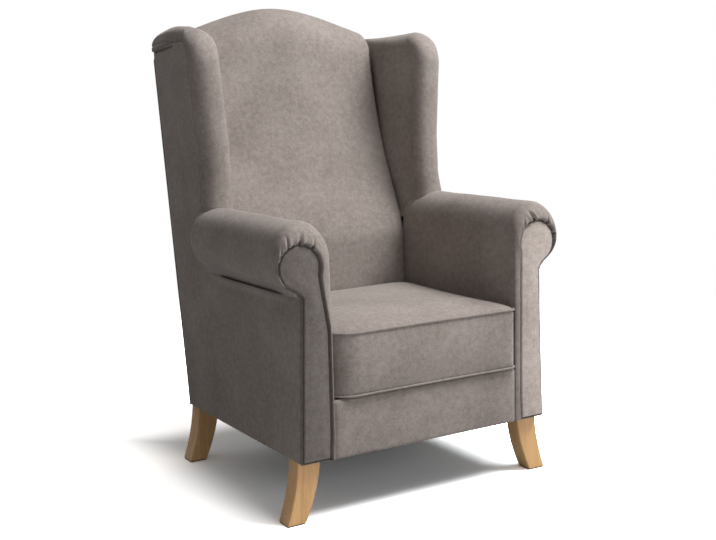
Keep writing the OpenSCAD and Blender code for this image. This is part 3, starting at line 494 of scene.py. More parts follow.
def makeFacing(side):  # rows of points across the panel, with padding that rounds off towards the piping
    outerEdge, innerEdge = facingLines[side]
    margin = 2 * facing["pipingRadius"] + facing["edgeGap"]
    low, high = chair["bottomZ"] + margin, outerEdge[-1][1] - margin
    share, even = np.linspace(0, 1, 150), facing["evenShare"]
    closer = even + (1 - even) * np.sin((share - even) / (1 - even) * math.pi / 2)
    edge = np.concatenate([outerEdge[::3], innerEdge[::-3]])
    rings = []
    for z in low + (high - low) * np.where(share < even, share, closer):
        outerX = np.interp(z, outerEdge[:, 1], outerEdge[:, 0]) - margin
        innerX = np.interp(z, innerEdge[:, 1], innerEdge[:, 0]) + margin
        if z > facing["scrollZ"]:   # near the top the margin is measured along the radius
            reach = facing["scrollRadius"][side] - margin
            half = math.sqrt(max(reach ** 2 - (z - facing["scrollZ"]) ** 2, 1e-8))
            outerX, innerX = facing["scrollX"][side] + half, facing["scrollX"][side] - half
        x = mix(innerX, outerX, (np.sin(np.linspace(-math.pi / 2, math.pi / 2, 33)) + 1) / 2)
        flat = np.stack([x, np.full_like(x, z)], axis=1)
        away = np.sqrt(((flat[:, None, :] - edge[None, :, :]) ** 2).sum(2)).min(1) - margin
        away = np.minimum(away, z - low)
        near = np.clip(away / facing["edgeRound"], 0, 1)
        lift = np.sqrt(1 - (1 - near) ** 2) * facing["edgeRise"]
        lift += facing["crown"] * ease(away / facing["crownReach"])
        spot = np.stack([x, np.zeros_like(x), np.full_like(x, z)], axis=1)
        uneven = ripple(spot, facing["slackSize"], 21 + side) * ease(away / facing["slackReach"])
        lift += facing["slack"] * uneven
        front = chair["frontY"] + facing["edgeBack"] - lift
        rear = chair["frontY"] + facing["rearBack"]
        ring = [[across, y, z] for across, y in zip(x, front)] + [[across, rear, z] for across in x[::-1]]
        rings.append(mirrored(ring, side))
    return fromRings("armFacing" + sideNames[side], rings, sharp=50)


def makeFacingPiping(side):
    outerEdge, innerEdge = facingLines[side]
    radius, gap, y = facing["pipingRadius"], facing["pipingGap"], chair["frontY"] + facing["pipingBack"]
    path = resample(pushedIn(np.concatenate([outerEdge, innerEdge[::-1][1:]]), radius), facing["pipingStep"])
    low = chair["bottomZ"] + radius + facing["pipingRise"]
    line = [[x, y, z] for x, z in path if z > chair["bottomZ"] + radius]
    line += [[x, y, low] for x in np.linspace(line[-1][0] + gap, line[0][0] - gap, 12)]
    return tube("armPiping" + sideNames[side], mirrored(line, side), radius)


for side in (1, -1):
    panel = dress(makeFacing(side), "upholstery", "chair", "arm_facing" + cadSides[side])
    # the facing takes its painted light or painted shade copy of the velour
    panel.data.materials[0] = paintedFacingFinishes[side]
    cord = dress(makeFacingPiping(side), "piping", "chair", "arm_piping" + cadSides[side])
    # the facing's piping takes the painted shade copy
    cord.data.materials[0] = seamShadeFinish
print("arm facings made")


# Arms: foam rolls under a cover that stands proud round the facing and is gathered there
arm = {
    "rollX": 0.329, "rollZ": 0.622,
    "halfWide": 0.067, "halfHigh": 0.078,
    "rollFrom": -62,         # the roll starts this many degrees below its outer side
    "lowGap": 0.002, "hiddenBack": 0.001,
    "slabX": 0.288,          # hidden inner line of the padding
    "slabBelow": 0.010,
    "underPoints": ((-0.006, -0.008), (-0.0030, 0.0008), (0.014, 0.0022)),   # the hidden line, from the neck
    "underShares": (0.50, 0.35),             # where its last point stands at the seam
    "seamBack": 0.0105,      # the seam round the facing, behind the front plane of the body
    "crestAhead": (0.0045, 0.0045, 0.0020, -0.0070),   # the padded rim, ahead of the same plane, and where
    "crestAngles": (0, 140, 190, 236),
    "crestSide": {1: 0.0008, -1: 0.0024},   # and down the inner side
    "lip": 0.0050,           # roundness of the rim towards the facing
    "lipSide": {1: 0.0030, -1: 0.0024},
    "lipShare": 0.45,        # at most, of the way out to the roll
    "sideFade": 7,           # how soon the rim takes its size on the inner side
    "innerReach": 0.022,     # the inner face runs on past the roll's end, behind the back's edge
    "innerFade": 9, "edgeFade": 8,
    "rimAngles": (0, 45, 130, 185, 242),   # from the inner side, over the top, to the underside
    "rimDepths": (0.015, 0.036, 0.038, 0.030, 0.020),
    "rimSide": {1: 0.0050, -1: 0.010},     # and down the inner side
    "endRound": 0.034,       # rounding of the roll's rear end
    "endFrom": (85, 50), "endTo": (-249, 7),   # and between which angles
    "closeShare": 0.92,      # behind this share of the length the rows draw together for it
    "gathers": 0.0002, "gatherReach": 0.02, "gatherCount": 23,
    "gatherFrom": (12, 30), "gatherTo": (-200, 20),
    "slack": 0.0010, "slackSize": 0.15,
    "slackReach": 0.06, "slackFrom": (8, 30), "slackBeside": (0.004, 0.03),
    "inPleat": 0.0085, "pleatStart": 0.004, "pleatRadius": 0.062,
    "pleatWide": 0.0019, "pleatSpread": 0.030,
    "puff": 0.0030, "puffAway": 0.0060, "puffSpread": 0.0015, "puffWide": 0.0048,
}
hiddenAngle = 250.0   # the part under the roll that the side panel covers
# Each pleat: angle from the inner side, depth, width, length and how far it leans over that length
armPleats = {
    1: [(38, 1.0, 1.1, 0.038, 10), (84, 1.3, 1.9, 0.052, -24),
        (128, 0.9, 1.0, 0.038, -8), (164, 0.7, 1.0, 0.030, 0)],
    -1: [(50, 0.7, 1.2, 0.040, 8), (89, 1.1, 2.3, 0.046, 2),
         (121, 1.1, 1.0, 0.050, 7), (154, 0.9, 1.7, 0.036, -10)],
}


def armOutline(side, atSeam):  # closed line round the arm, as x and z: at the facing's seam, or at full size
    innerEdge = facingLines[side][1]
    cx, cz, rx, rz = arm["rollX"], arm["rollZ"], arm["halfWide"], arm["halfHigh"]
    if atSeam:
        cx, cz = facing["scrollX"][side], facing["scrollZ"]
        rx = rz = facing["scrollRadius"][side]
    turn = np.radians(np.concatenate([np.linspace(arm["rollFrom"], 14, 34)[:-1], np.linspace(14, 180, 200)]))
    roll = np.stack([cx + rx * np.cos(turn), cz + rz * np.sin(turn)], axis=1)
    low, neckZ = chair["bottomZ"] + arm["lowGap"], chair["neckZ"]
    down = np.linspace(0, 1, 50)[1:]
    z = mix(cz, low, down)
    x = np.full_like(z, chair["armX"])
    under = [[arm["slabX"], low], [arm["slabX"], neckZ - arm["slabBelow"]]]
    under += [[neckX + out, neckZ + up] for out, up in arm["underPoints"]]
    if atSeam:
        edge = np.interp(z, innerEdge[:, 1], innerEdge[:, 0])
        x = edge + (roll[-1, 0] - edge[0]) * (1 - ease(down * arm["edgeFade"]))
        under[-1] = [mix(*ends) for ends in zip((neckX, neckZ), roll[0], arm["underShares"])]
    angle = np.concatenate([np.full(len(under), hiddenAngle), 180 - np.degrees(turn), np.full(len(z), 0.0)])
    beside = np.concatenate([np.zeros(len(under) + len(turn)), down])
    return np.concatenate([under, roll, np.stack([x, z], axis=1)]), angle, beside


def outward(grid):  # unit normals of a closed grid of points
    across = np.roll(grid, -1, axis=1) - np.roll(grid, 1, axis=1)
    return unit(np.cross(across, np.gradient(grid, axis=0)))


def pleatRelief(side, angle, run):  # creases drawn in at the facing, with full folds of cloth between them
    total = np.zeros_like(run)
    for at, deep, broad, length, lean in armPleats[side]:
        strength = deep * (1 - ease(run / length)) * ease(run / arm["pleatStart"])
        off = np.radians(angle - at - lean * run / length) * arm["pleatRadius"]
        crease = -arm["inPleat"] * bump(off, (arm["pleatWide"] + arm["pleatSpread"] * run) * broad)
        full = arm["puff"] * bump(np.abs(off) - arm["puffAway"] - arm["puffSpread"] * broad, arm["puffWide"])
        total += strength * (crease + full)
    small = np.sin(np.radians(angle) * arm["gatherCount"] + side) * np.exp(-run / arm["gatherReach"])
    return total + arm["gathers"] * small * fade(angle, arm["gatherFrom"]) * fade(-angle, arm["gatherTo"])


def makeArm(side):
    seam, angle, beside = armOutline(side, True)
    step = armOutline(side, False)[0] - seam
    far, way = np.linalg.norm(step, axis=1), unit(step)

    def downSide(onRoll, onSide):  # one size round the roll, which turns into another down the inner side
        return np.where(beside > 0, mix(onRoll, onSide[side], ease(beside * arm["sideFade"])), onRoll)

    lip = np.minimum(downSide(arm["lip"], arm["lipSide"]), arm["lipShare"] * far)
    depth = downSide(np.interp(angle, arm["rimAngles"], arm["rimDepths"]), arm["rimSide"])
    ahead = downSide(np.interp(angle, arm["crestAngles"], arm["crestAhead"]), arm["crestSide"])
    seamY = chair["frontY"] + arm["seamBack"]
    behindPanel = chair["frontY"] + facing["rearBack"] + arm["hiddenBack"]
    crestY = np.where(angle == hiddenAngle, behindPanel, chair["frontY"] - ahead)
    endY = rollEndY + arm["innerReach"] * ease(beside * arm["innerFade"])
    rows = [(lip * (1 - math.cos(a)), mix(seamY, crestY, math.sin(a))) for a in quarterTurn(8)]
    rows += [(mix(lip, far, math.sin(a)), crestY + depth * (1 - math.cos(a))) for a in quarterTurn(34, 1)]
    close = arm["closeShare"]
    shares = np.concatenate([np.linspace(0, close, 46)[1:], close + (1 - close) * np.sin(quarterTurn(16, 1))])
    rows += [(far, mix(crestY + depth, endY, s)) for s in shares]
    grid = np.array([np.stack([seam[:, 0] + way[:, 0] * out, y, seam[:, 1] + way[:, 1] * out], axis=1)
                     for out, y in rows])
    lengths = np.linalg.norm(np.diff(grid, axis=0), axis=2)
    run = np.concatenate([np.zeros((1, grid.shape[1])), np.cumsum(lengths, axis=0)])
    angles = np.broadcast_to(angle, run.shape)
    onRoll = (angles > 0) & (angles < hiddenAngle)
    amount = np.where(onRoll, pleatRelief(side, angles, run), 0)
    # the cover isn't perfectly even, and the rear end of the roll is rounded off on the outside
    uneven = ripple(grid.reshape(-1, 3), arm["slackSize"], 4 + side).reshape(run.shape) * onRoll
    uneven *= ease(run / arm["slackReach"]) * fade(angles, arm["slackFrom"])
    amount += arm["slack"] * uneven * fade(grid[..., 0] - chair["armX"], arm["slackBeside"])
    ending = np.clip((grid[..., 1] - rollEndY + arm["endRound"]) / arm["endRound"], 0, 1)
    turnedIn = arm["endRound"] * (1 - np.sqrt(1 - ending ** 2))
    amount -= turnedIn * fade(angles, arm["endFrom"]) * fade(-angles, arm["endTo"])
    normal = outward(grid)
    normal *= np.sign(normal[60, 120, 2])    # a point on top of the roll, where outward is up
    level = unit(normal * np.array([1, 0, 1]))
    grid = grid + np.where((ending > 0)[..., None], level, normal) * amount[..., None]
    return fromRings("armUpholstery" + sideNames[side], mirrored(grid, side), sharp=80)


for side in (1, -1):
    standsFor = [name + cadSides[side] for name in ("arm_cover", "arm_pad")]
    dress(makeArm(side), "upholstery", "chair", *standsFor)
print("arms made")


# Wings: padded boards with a fat rolled front edge
wing = {
    "radius": 0.040,
    "thinnest": 0.006,       # keeps the closing top from coming to a point
    "squareness": 0.75,      # of the roll's inner half
    "frontY": 0.04796,
    "lean": 0.014,
    "corner": 0.088,
    "innerBulge": 0.0070, "bulgeFrom": 0.30,
    "flareShares": (0, 0.12, 0.35, 0.80, 1),
    "flares": (0.0140, 0.0090, 0.0105, 0.0255, 0.0240),   # how far the front stands outside the straight side
    "baseZ": 0.702,
    "bendZ": 1.070,          # above it the top closes over
    "topGap": 0.0002,
    "footForward": 0.012, "footZone": (0.69, 0.045),   # the roll spreads forward where it stands on the arm
    "footY": (0.017, 0.045, 0.060, 0.104),   # the seam where the wing's inner face meets the arm
    "footZ": (0.703, 0.687, 0.667, 0.624),
    "footRise": 0.034,
    "footProud": (-0.0075, 0.0010, 0.0036),  # the lower edge rolls in to the arm
    "footRolls": (0, 0.10, 0.22),
    "sinks": {"inner": 0.001, "roll": 0.004},   # how far the foot reaches into the arm
    "hiddenDown": 0.14, "hiddenFrom": (0.006, 0.01), "footFade": 0.12,
    "outerGap": 0.0006,      # the outer face lies this far inside the side panel
    "foldZ": (1.096, 1.106), # height of the folded top edge on the outside, at the rear and at the front
    "foldEndY": 0.225, "foldRun": 0.19,
    "foldOut": 0.0080, "foldLip": 0.0028,
    "foldStart": (-0.045, 0.10), "foldEnd": (0.955, 0.045), "foldLeft": 0.3,
    "outerFade": 12, "lipFade": 1.4,
    "crease": 0.0032, "creaseWide": 0.0022,  # a second line above the fold
    "creaseAbove": (0.005, 0.017), "creaseStart": (-0.02, 0.04),
    "topRise": {1: -0.0120, -1: 0.0145},     # the left top is padded up into a dome, the right one slopes
    "topPeak": {1: (0.300, 0.13), -1: (0.255, 0.10)},
    "rearRound": 0.046,
    "rearFall": 0.022,
    "slack": 0.0012, "slackSize": 0.2, "slackAbove": (0.74, 0.06), "slackAhead": (-0.15, 0.03),
}


def wingShare(z):
    return clamp((z - wing["baseZ"]) / (chair["wingZ"] - wing["baseZ"]))


def wingFront(z):
    footTop, footFall = wing["footZone"]
    foot = wing["footForward"] * math.exp(-max(z - footTop, 0) / footFall)
    front = wing["frontY"] + wing["lean"] * wingShare(z) - foot
    return front + roundedOff(chair["wingZ"] - z, wing["corner"])


def wingSeam(z):
    return wingFront(z) + wing["radius"]


def flare(z):
    full = float(np.interp(wingShare(z), wing["flareShares"], wing["flares"]))
    return full * clamp((z - chair["neckZ"]) / (wing["baseZ"] - chair["neckZ"]))


def panelAt(y, z):  # outer face of the side panels
    if z < chair["neckZ"]:
        return mix(sideAt(z), chair["sideX"], clamp((y - chair["frontY"]) / chair["rollDepth"]))
    return chair["sideX"] + flare(z) * clamp((rearY(z) - y) / (rearY(z) - wingSeam(z)))


def foldShare(y):  # 0 ahead of the folded edge, 1 at its rear end
    return clamp((y - wing["foldEndY"]) / wing["foldRun"])


def foldHeight(y):
    rear, front = wing["foldZ"]
    return mix(front, rear, foldShare(y))


def armInnerAt(z):  # inner surface of the arm roll at height z
    across = clamp((z - arm["rollZ"]) / arm["halfHigh"])
    return arm["rollX"] - arm["halfWide"] * math.sqrt(1 - across ** 2)


def armTopAt(x):  # height of the arm roll under the wing
    across = clamp(abs(x - arm["rollX"]) / arm["halfWide"])
    return arm["rollZ"] + arm["halfHigh"] * math.sqrt(1 - across ** 2)


def wingPoint(part, t, z):  # a point of the wing's ring at height z: inner face, roll or outer face
    seam, radius = wingSeam(z), wing["radius"]
    over = z - chair["wingZ"] + radius
    thin = math.sqrt(max(wing["thinnest"], 1 - (over / radius) ** 2)) if over > 0 else 1.0
    cx = panelAt(seam, z) - radius
    rear = rearY(z) - chair["backPanel"]
    if part == "inner":
        start = wing["bulgeFrom"]
        x = mix(chair["armX"] + chair["fit"], cx - radius * thin, t)
        y = mix(rear, seam, t)
        x -= wing["innerBulge"] * math.sin(math.pi * clamp((t - start) / (1 - start))) ** 1.5 * thin
        rise = (z - np.interp(y, wing["footY"], wing["footZ"])) / wing["footRise"]
        proud = float(np.interp(rise, wing["footRolls"], wing["footProud"]))
        return mix(armInnerAt(z) - proud, x, float(ease(rise))), y
    if part == "roll":
        a = math.pi + math.pi * t
        wide = math.cos(a) if t > 0.5 else -abs(math.cos(a)) ** wing["squareness"]
        return cx + radius * thin * wide, seam + radius * math.sin(a)
    y = mix(seam, rear, t)
    inside = chair["backPanel"] + wing["outerGap"]
    above, behind = z - foldHeight(y), y - wing["foldEndY"]
    lip = ease(above / wing["foldLip"]) * fade(behind, wing["foldStart"])
    lip *= 1 - (1 - wing["foldLeft"]) * fade(t, wing["foldEnd"])
    folded = lip * (inside + wing["foldOut"]) * min(1, thin * wing["lipFade"])
    x = mix(cx, panelAt(y, z) - inside * ease(t * wing["outerFade"]) + folded, thin)
    crease = bump(above - mix(*wing["creaseAbove"], foldShare(y)), wing["creaseWide"])
    return x - wing["crease"] * crease * float(fade(behind, wing["creaseStart"])), y


def topFall(y, z, side):  # how far the top sinks towards its rear corner
    fromRear = rearY(z) - chair["backPanel"] - y
    peak, wide = wing["topPeak"][side]
    rise = wing["topRise"][side] * bump(min(y, peak) - peak if side > 0 else y - peak, wide)
    return wing["rearFall"] * roundedOff(fromRear, wing["rearRound"]) / wing["rearRound"] - rise


def wingFoot(part, x, y):  # how far the lowest ring is drawn down, to the seam, the arm or behind it
    if part == "inner":
        return wing["baseZ"] - np.interp(y, wing["footY"], wing["footZ"]) + wing["sinks"]["inner"]
    if y < rollEndY + wing["hiddenFrom"][0]:
        return wing["baseZ"] - armTopAt(x) + wing["sinks"]["roll"]
    return wing["hiddenDown"] * float(fade(y - rollEndY, wing["hiddenFrom"])) if part == "outer" else 0.0


def makeWing(side):
    backwards = np.concatenate([np.linspace(0, 0.8, 36)[:-1], np.linspace(0.8, 1, 18)])   # roll to rear
    columns = [("inner", 1 - t) for t in backwards[:0:-1]]
    columns += [("roll", t) for t in np.linspace(0, 1, 44)[:-1]]
    columns += [("outer", t) for t in backwards]
    low, bend, top = wing["baseZ"], wing["bendZ"], chair["wingZ"] - wing["topGap"]
    share = np.concatenate([np.linspace(0, 0.04, 12)[:-1], np.linspace(0.04, 1, 64)[:-1]])
    rings = []
    for z in np.concatenate([mix(low, bend, share), mix(bend, top, np.sin(quarterTurn(84)))]).tolist():
        ring = []
        for part, t in columns:
            down = wingFoot(part, *wingPoint(part, t, z))
            place = z - down * (1 - float(ease((z - low) / wing["footFade"])))
            x, y = wingPoint(part, t, place)
            ring.append([x, y, place - topFall(y, place, side) * clamp((place - bend) / (top - bend))])
        rings.append(ring)
    rings = np.array(rings)
    flat = rings.reshape(-1, 3)
    bulge = wing["slack"] * ripple(flat, wing["slackSize"], 12 + side) * fade(flat[:, 2], wing["slackAbove"])
    soft = [part != "outer" for part, t in columns] * len(rings)
    flat[:, 1] -= bulge * soft * fade(-flat[:, 1], wing["slackAhead"])
    return fromRings("wingUpholstery" + sideNames[side], mirrored(rings, side), (True, "strip"), 80)


for side in (1, -1):
    standsFor = [name + cadSides[side] for name in ("wing_cover", "wing_pad")]
    dress(makeWing(side), "upholstery", "chair", *standsFor)
print("wings made")


# Back: one padded panel with a camel crest
back = {
    "insideY": 0.10096, "insideTopY": 0.28096,
    "crown": 0.022, "slope": 0.43, "round": 0.155,
    "frontRound": 0.106, "edgeRound": 0.050, "rearRound": 0.034,
    "ease": 0.009,
    "tuck": 0.004, "edgeTuck": 0.005,        # the edges are drawn back beside the wings
    "wrap": 0.014,                           # and come forward to them higher up
    "lowFull": 0.3, "leanFull": 0.8, "kneeFull": 0.4,   # shares of the crown at three heights
    "kneeShares": (0.7, 0.33), "overShare": 0.45,
    "slack": 0.0013, "slackSize": 0.22, "slackReach": 0.05, "slackDepth": 0.03,
}


def crestAt(x):
    return chair["crestZ"] - back["slope"] * (math.sqrt(x * x + back["round"] ** 2) - back["round"])


def bezier(points, t):
    a, b, c, d = (np.array(p, float) for p in points)
    t = np.asarray(t)[:, None]
    return (1 - t) ** 3 * a + 3 * (1 - t) ** 2 * t * b + 3 * (1 - t) * t * t * c + t ** 3 * d


def makeBack():
    half, lumbar = chair["armX"] - chair["fit"], chair["lumbarZ"]
    rings = []
    for u in np.sin(np.linspace(-math.pi / 2, math.pi / 2, 81)):
        top, full = crestAt(u * half), back["crown"] * (1 - u * u)
        tuck = abs(u) ** 12 * back["tuck"] + abs(u) ** 50 * back["edgeTuck"]
        wrap = abs(u) ** 5 * back["wrap"]
        low = [back["insideY"] - back["lowFull"] * full + tuck, lumbar]
        overhead = mix(back["frontRound"], back["edgeRound"], abs(u) ** 6)
        lean = [back["insideTopY"] - back["leanFull"] * full + tuck - wrap, top - overhead]
        inShare, upShare = back["kneeShares"]
        knee = [mix(low[0], lean[0], inShare) - back["kneeFull"] * full, mix(lumbar, chair["wingZ"], upShare)]
        base, r = chair["deckZ"] + chair["fit"], back["rearRound"]
        rear = rearY(top - r) - chair["backPanel"]
        peak = [rear - r, top]
        ring = [[rearY(base) - chair["backPanel"], base]]
        ring += [[rear - r * (1 - math.cos(a)), top - r * (1 - math.sin(a))] for a in quarterTurn(9)[:-1]]
        over = [mix(peak[0], lean[0], back["overShare"]), top]
        fore = [lean[0] + back["ease"], mix(lean[1], top, 0.5)]
        ring += bezier([peak, over, fore, lean], np.linspace(0, 1, 26)).tolist()
        down = [lean, knee, [low[0], mix(lumbar, knee[1], 0.5)], low]
        ring += bezier(down, np.linspace(0, 1, 56)[1:]).tolist()
        ring += [[low[0], z] for z in np.linspace(lumbar, base, 24)[1:]]
        rings.append([[u * half, y, z] for y, z in ring])
    rings = np.array(rings)
    flat = rings.reshape(-1, 3)
    shownSide = flat[:, 1] < rearY(flat[:, 2]) - back["slackDepth"]
    shownSide = shownSide * ease((half - np.abs(flat[:, 0])) / back["slackReach"])
    flat[:, 1] += back["slack"] * ripple(flat, back["slackSize"], 31) * shownSide
    return fromRings("backUpholstery", rings, sharp=80)


cover = dress(makeBack(), "upholstery", "chair", "inside_back_cover", "back_pad")
print("back made")


# Outside panels: fabric stretched over the frame
panels = {
    "thick": 0.003,
    "hemRound": 0.005, "topHem": 0.0025, "cornerRound": 0.004, "frontRound": 0.003,
    "rearOut": 0.0022,       # fullness of the cloth at the rear corners
    "topZ": 1.112, "calmZ": 1.000, "underLip": 0.007,
    "rollSpan": (0, 0.06),         # above the neck, where the front edge moves to the end of the arm roll
    "wingSpan": (0.640, 0.035),    # from here, over this height, it moves on to the wing's roll
    "wingLowZ": 0.690, "seamGap": 0.0004,
    "neckSpan": (-0.014, 0.012), "neckReach": 0.02,
    "flareSpan": (-0.024, 0.022), "flareFront": (0.02, 0.07), "flareRear": (0, 0.12), "hemRear": (0, 0.02),
    "frontShare": 0.6,
    "bandsZ": (0.704, 1.092),
    "grooveSpan": (-0.02, 0.03),
    "slack": 0.0012, "slackSize": 0.3,
    "calmLow": 0.05, "calmRear": 0.04, "calmFront": 0.04,    # the cloth is taut this near to its edges
    "backLow": (0.15, 0.06), "backHigh": (-1.13, 0.1), "backSide": 0.06,
    "edgeInset": 0.005, "edgeRows": (0, 0.001, 0.0025),
    "shoulderDrop": 0.028, "shoulderIn": 0.008, "shoulderRun": 0.02,
    "underRoll": 0.042, "underFlare": 0.0120,
    "foldGroove": 0.009, "grooveHigh": 0.0030, "grooveBelow": 0.0008,   # under the wing's folded edge
}


def panelFront(z):  # the front edge, behind the rounded end of the arm roll and then along the wing's roll
    under = rollEndY - panels["underRoll"]
    front = mix(under, rollEndY + chair["fit"], float(fade(z - chair["neckZ"], panels["rollSpan"])))
    seam = wingSeam(max(z, panels["wingLowZ"])) + panels["seamGap"]
    return mix(front, seam, float(fade(z, panels["wingSpan"])))


def panelOut(y, z, rear, side):  # how far the cloth stands out at a point below the calm height
    along = clamp((y - armFrontY) / (rear - armFrontY))
    nearNeck = float(fade(z - chair["neckZ"], panels["neckSpan"]) * (y < armFrontY + panels["neckReach"]))
    out = panelAt(y, z) + mix(facing["outShift"][side] * (1 - nearNeck), panels["rearOut"], along)
    out -= roundedOff(z - chair["bottomZ"], panels["hemRound"])
    return out - roundedOff(rear - y, panels["cornerRound"])


def underArm(y, z):  # drawn out and turned in under the roll, and turned in behind the facing
    ahead, behind = rollEndY - panels["underRoll"] - y, y - armFrontY
    drawn = fade(z - chair["neckZ"], panels["flareSpan"]) * fade(behind, panels["flareFront"])
    drawn = float(drawn * fade(ahead, panels["flareRear"]))
    hem = roundedOff(chair["neckZ"] - z, panels["topHem"]) * float(fade(ahead, panels["hemRear"]))
    turnedIn = panels["frontShare"] * roundedOff(behind, panels["frontRound"])
    return panels["underFlare"] * drawn - hem - turnedIn


def makeSidePanel(side):
    neckZ, calmZ, topZ = chair["neckZ"], panels["calmZ"], panels["topZ"]
    shares = np.concatenate([np.linspace(0, 0.01, 5), np.linspace(0.01, 0.88, 30)[1:],
                             np.linspace(0.88, 0.985, 13)[1:], [0.990, 0.994, 0.997, 0.999, 1]])
    rows = [(z, True) for z in mix(chair["bottomZ"], neckZ, shares)]
    lowBand, highBand = panels["bandsZ"]
    for start, end, count in ((neckZ, lowBand, 30), (lowBand, highBand, 40), (highBand, topZ, 22)):
        rows += [(z, False) for z in np.linspace(start, end, count)[1:]]
    ahead = np.linspace(armFrontY, panelFront(neckZ), 46)[:-1]   # the columns under the arm roll
    low, high = [], []
    for z, below in rows:
        rear = rearY(z) - chair["backPanel"]
        ys = mix(panelFront(z), rear, np.linspace(0, 1, 34))
        line = []
        for y in (np.concatenate([ahead, ys]) if below else ys).tolist():
            x = panelOut(y, z, rear, side) + (underArm(y, z) if below else 0)
            full = foldHeight(y) + panels["underLip"] - calmZ
            shownZ = calmZ + (z - calmZ) * full / (topZ - calmZ) if z > calmZ else z
            fold = bump(shownZ - foldHeight(y) + panels["grooveBelow"], panels["grooveHigh"])
            x -= panels["foldGroove"] * fold * float(fade(y - wing["foldEndY"], panels["grooveSpan"]))
            line.append([x, y, shownZ])
        (low if below else high).append(line)
    low, high = np.array(low), np.array(high)
    high = np.concatenate([low[-1:, len(ahead):], high])
    faces = gridFaces(*low.shape[:2]) + gridFaces(*high.shape[:2], len(low) * low.shape[1])
    points = np.concatenate([low.reshape(-1, 3), high.reshape(-1, 3)])
    y, z = points[:, 1], points[:, 2]
    calm = ease((z - chair["bottomZ"]) / panels["calmLow"]) * ease((rearY(z) - y) / panels["calmRear"])
    calm *= ease((y - armFrontY) / panels["calmFront"])
    points[:, 0] -= panels["slack"] * (0.5 + 0.5 * ripple(points, panels["slackSize"], 50 + side)) * calm
    made = makeObject("sidePanel" + sideNames[side], mirrored(points, side), faces)
    weld = bmesh.new()
    weld.from_mesh(made.data)
    bmesh.ops.remove_doubles(weld, verts=weld.verts, dist=0.00001)
    bmesh.ops.recalc_face_normals(weld, faces=weld.faces)
    if sum(f.normal.x * f.calc_area() for f in weld.faces) * side < 0:
        bmesh.ops.reverse_faces(weld, faces=weld.faces)
    weld.to_mesh(made.data)
    weld.free()
    made.data.shade_smooth()
    return thicken(made, panels["thick"])


def backTop(x):  # top edge of the outside back, on its own leaning plane
    crestHalf = chair["armX"] - chair["fit"] - panels["shoulderIn"]
    shoulderZ = chair["wingZ"] - wing["radius"] - panels["shoulderDrop"]
    middle = crestAt(min(abs(x), crestHalf)) - back["rearRound"] / 2
    a = (chair["sideX"] - chair["armX"] + chair["fit"]) / 2
    t = clamp((abs(x) - chair["sideX"] + a) / a)
    shoulder = shoulderZ + wing["radius"] * math.sqrt(1 - t * t)
    return mix(middle, shoulder, float(ease((abs(x) - crestHalf) / panels["shoulderRun"])))


def makeOutsideBack():
    wide, inset, bottomZ = chair["sideX"] + panels["rearOut"], panels["edgeInset"], chair["bottomZ"]
    edgeX = wide - np.array(panels["edgeRows"])
    columns = np.concatenate([-edgeX, np.linspace(inset - wide, wide - inset, 91), edgeX[::-1]])
    grid = []
    shares = [np.linspace(0, 0.008, 4)[:-1], np.linspace(0.008, 0.992, 90), np.linspace(0.992, 1, 4)[1:]]
    for s in np.concatenate(shares):
        line = []
        for x in columns:
            top = backTop(x)
            z = mix(bottomZ, top, s)
            edge = min(wide - abs(x), top - z, z - bottomZ)
            line.append([x, rearY(z) - roundedOff(edge, panels["cornerRound"]), z])
        grid.append(line)
    grid = np.array(grid)
    flat = grid.reshape(-1, 3)
    x, z = flat[:, 0], flat[:, 2]
    calm = fade(z, panels["backLow"]) * fade(-z, panels["backHigh"])
    calm *= ease((wide - np.abs(x)) / panels["backSide"])
    flat[:, 1] -= panels["slack"] * (0.5 + 0.5 * ripple(flat, panels["slackSize"], 61)) * calm
    return fromGrid("outsideBack", grid, panels["thick"])


for side in (1, -1):
    cloth = dress(makeSidePanel(side), "upholstery", "chair", "side_panel" + cadSides[side])
cloth = dress(makeOutsideBack(), "upholstery", "chair", "outside_back_panel")
print("outside panels made")


# Front border under the cushion
border = {
    "halfWide": 0.260,
    "rearY": -0.3839,
    "frontBack": 0.001,      # its face stands this far behind the front plane
    "crown": 0.0022, "crownEnd": 0.03,
    "round": 0.009, "footRound": 0.005,
    "endRound": 0.006, "endIn": 0.003, "footShare": 0.3,
    "topGap": 0.001,
}


def makeBorder():
    half, r, foot = border["halfWide"], border["round"], border["footRound"]
    frontY = chair["frontY"] + border["frontBack"]
    low, high = chair["bottomZ"], chair["deckZ"] - border["topGap"]
    ends = [0.988, 0.994, 0.998, 1]
    rings = []
    for x in np.concatenate([np.negative(ends[::-1]), np.linspace(-0.98, 0.98, 64), ends]) * half:
        ring = [[border["rearY"], low], [border["rearY"], high]]
        ring += [[frontY + r * (1 - math.cos(a)), high - r * (1 - math.sin(a))] for a in quarterTurn(9)[::-1]]
        for z in np.linspace(high - r, low + foot, 26)[1:]:
            full = math.sin(math.pi * (z - low) / (high - low)) * ease((half - abs(x)) / border["crownEnd"])
            ring.append([frontY - border["crown"] * full, z])
        eased = border["footShare"] * foot
        ring += [[frontY + eased, low + eased], [frontY + foot, low]]
        drawnIn = border["endIn"] * (1 - ease((half - abs(x)) / border["endRound"]))
        rings.append([[x, y + drawnIn if y < border["rearY"] - border["endIn"] else y, z] for y, z in ring])
    return fromRings("frontBorder", rings, sharp=70)


strip = dress(makeBorder(), "upholstery", "chair", "front_border")
print("front border made")


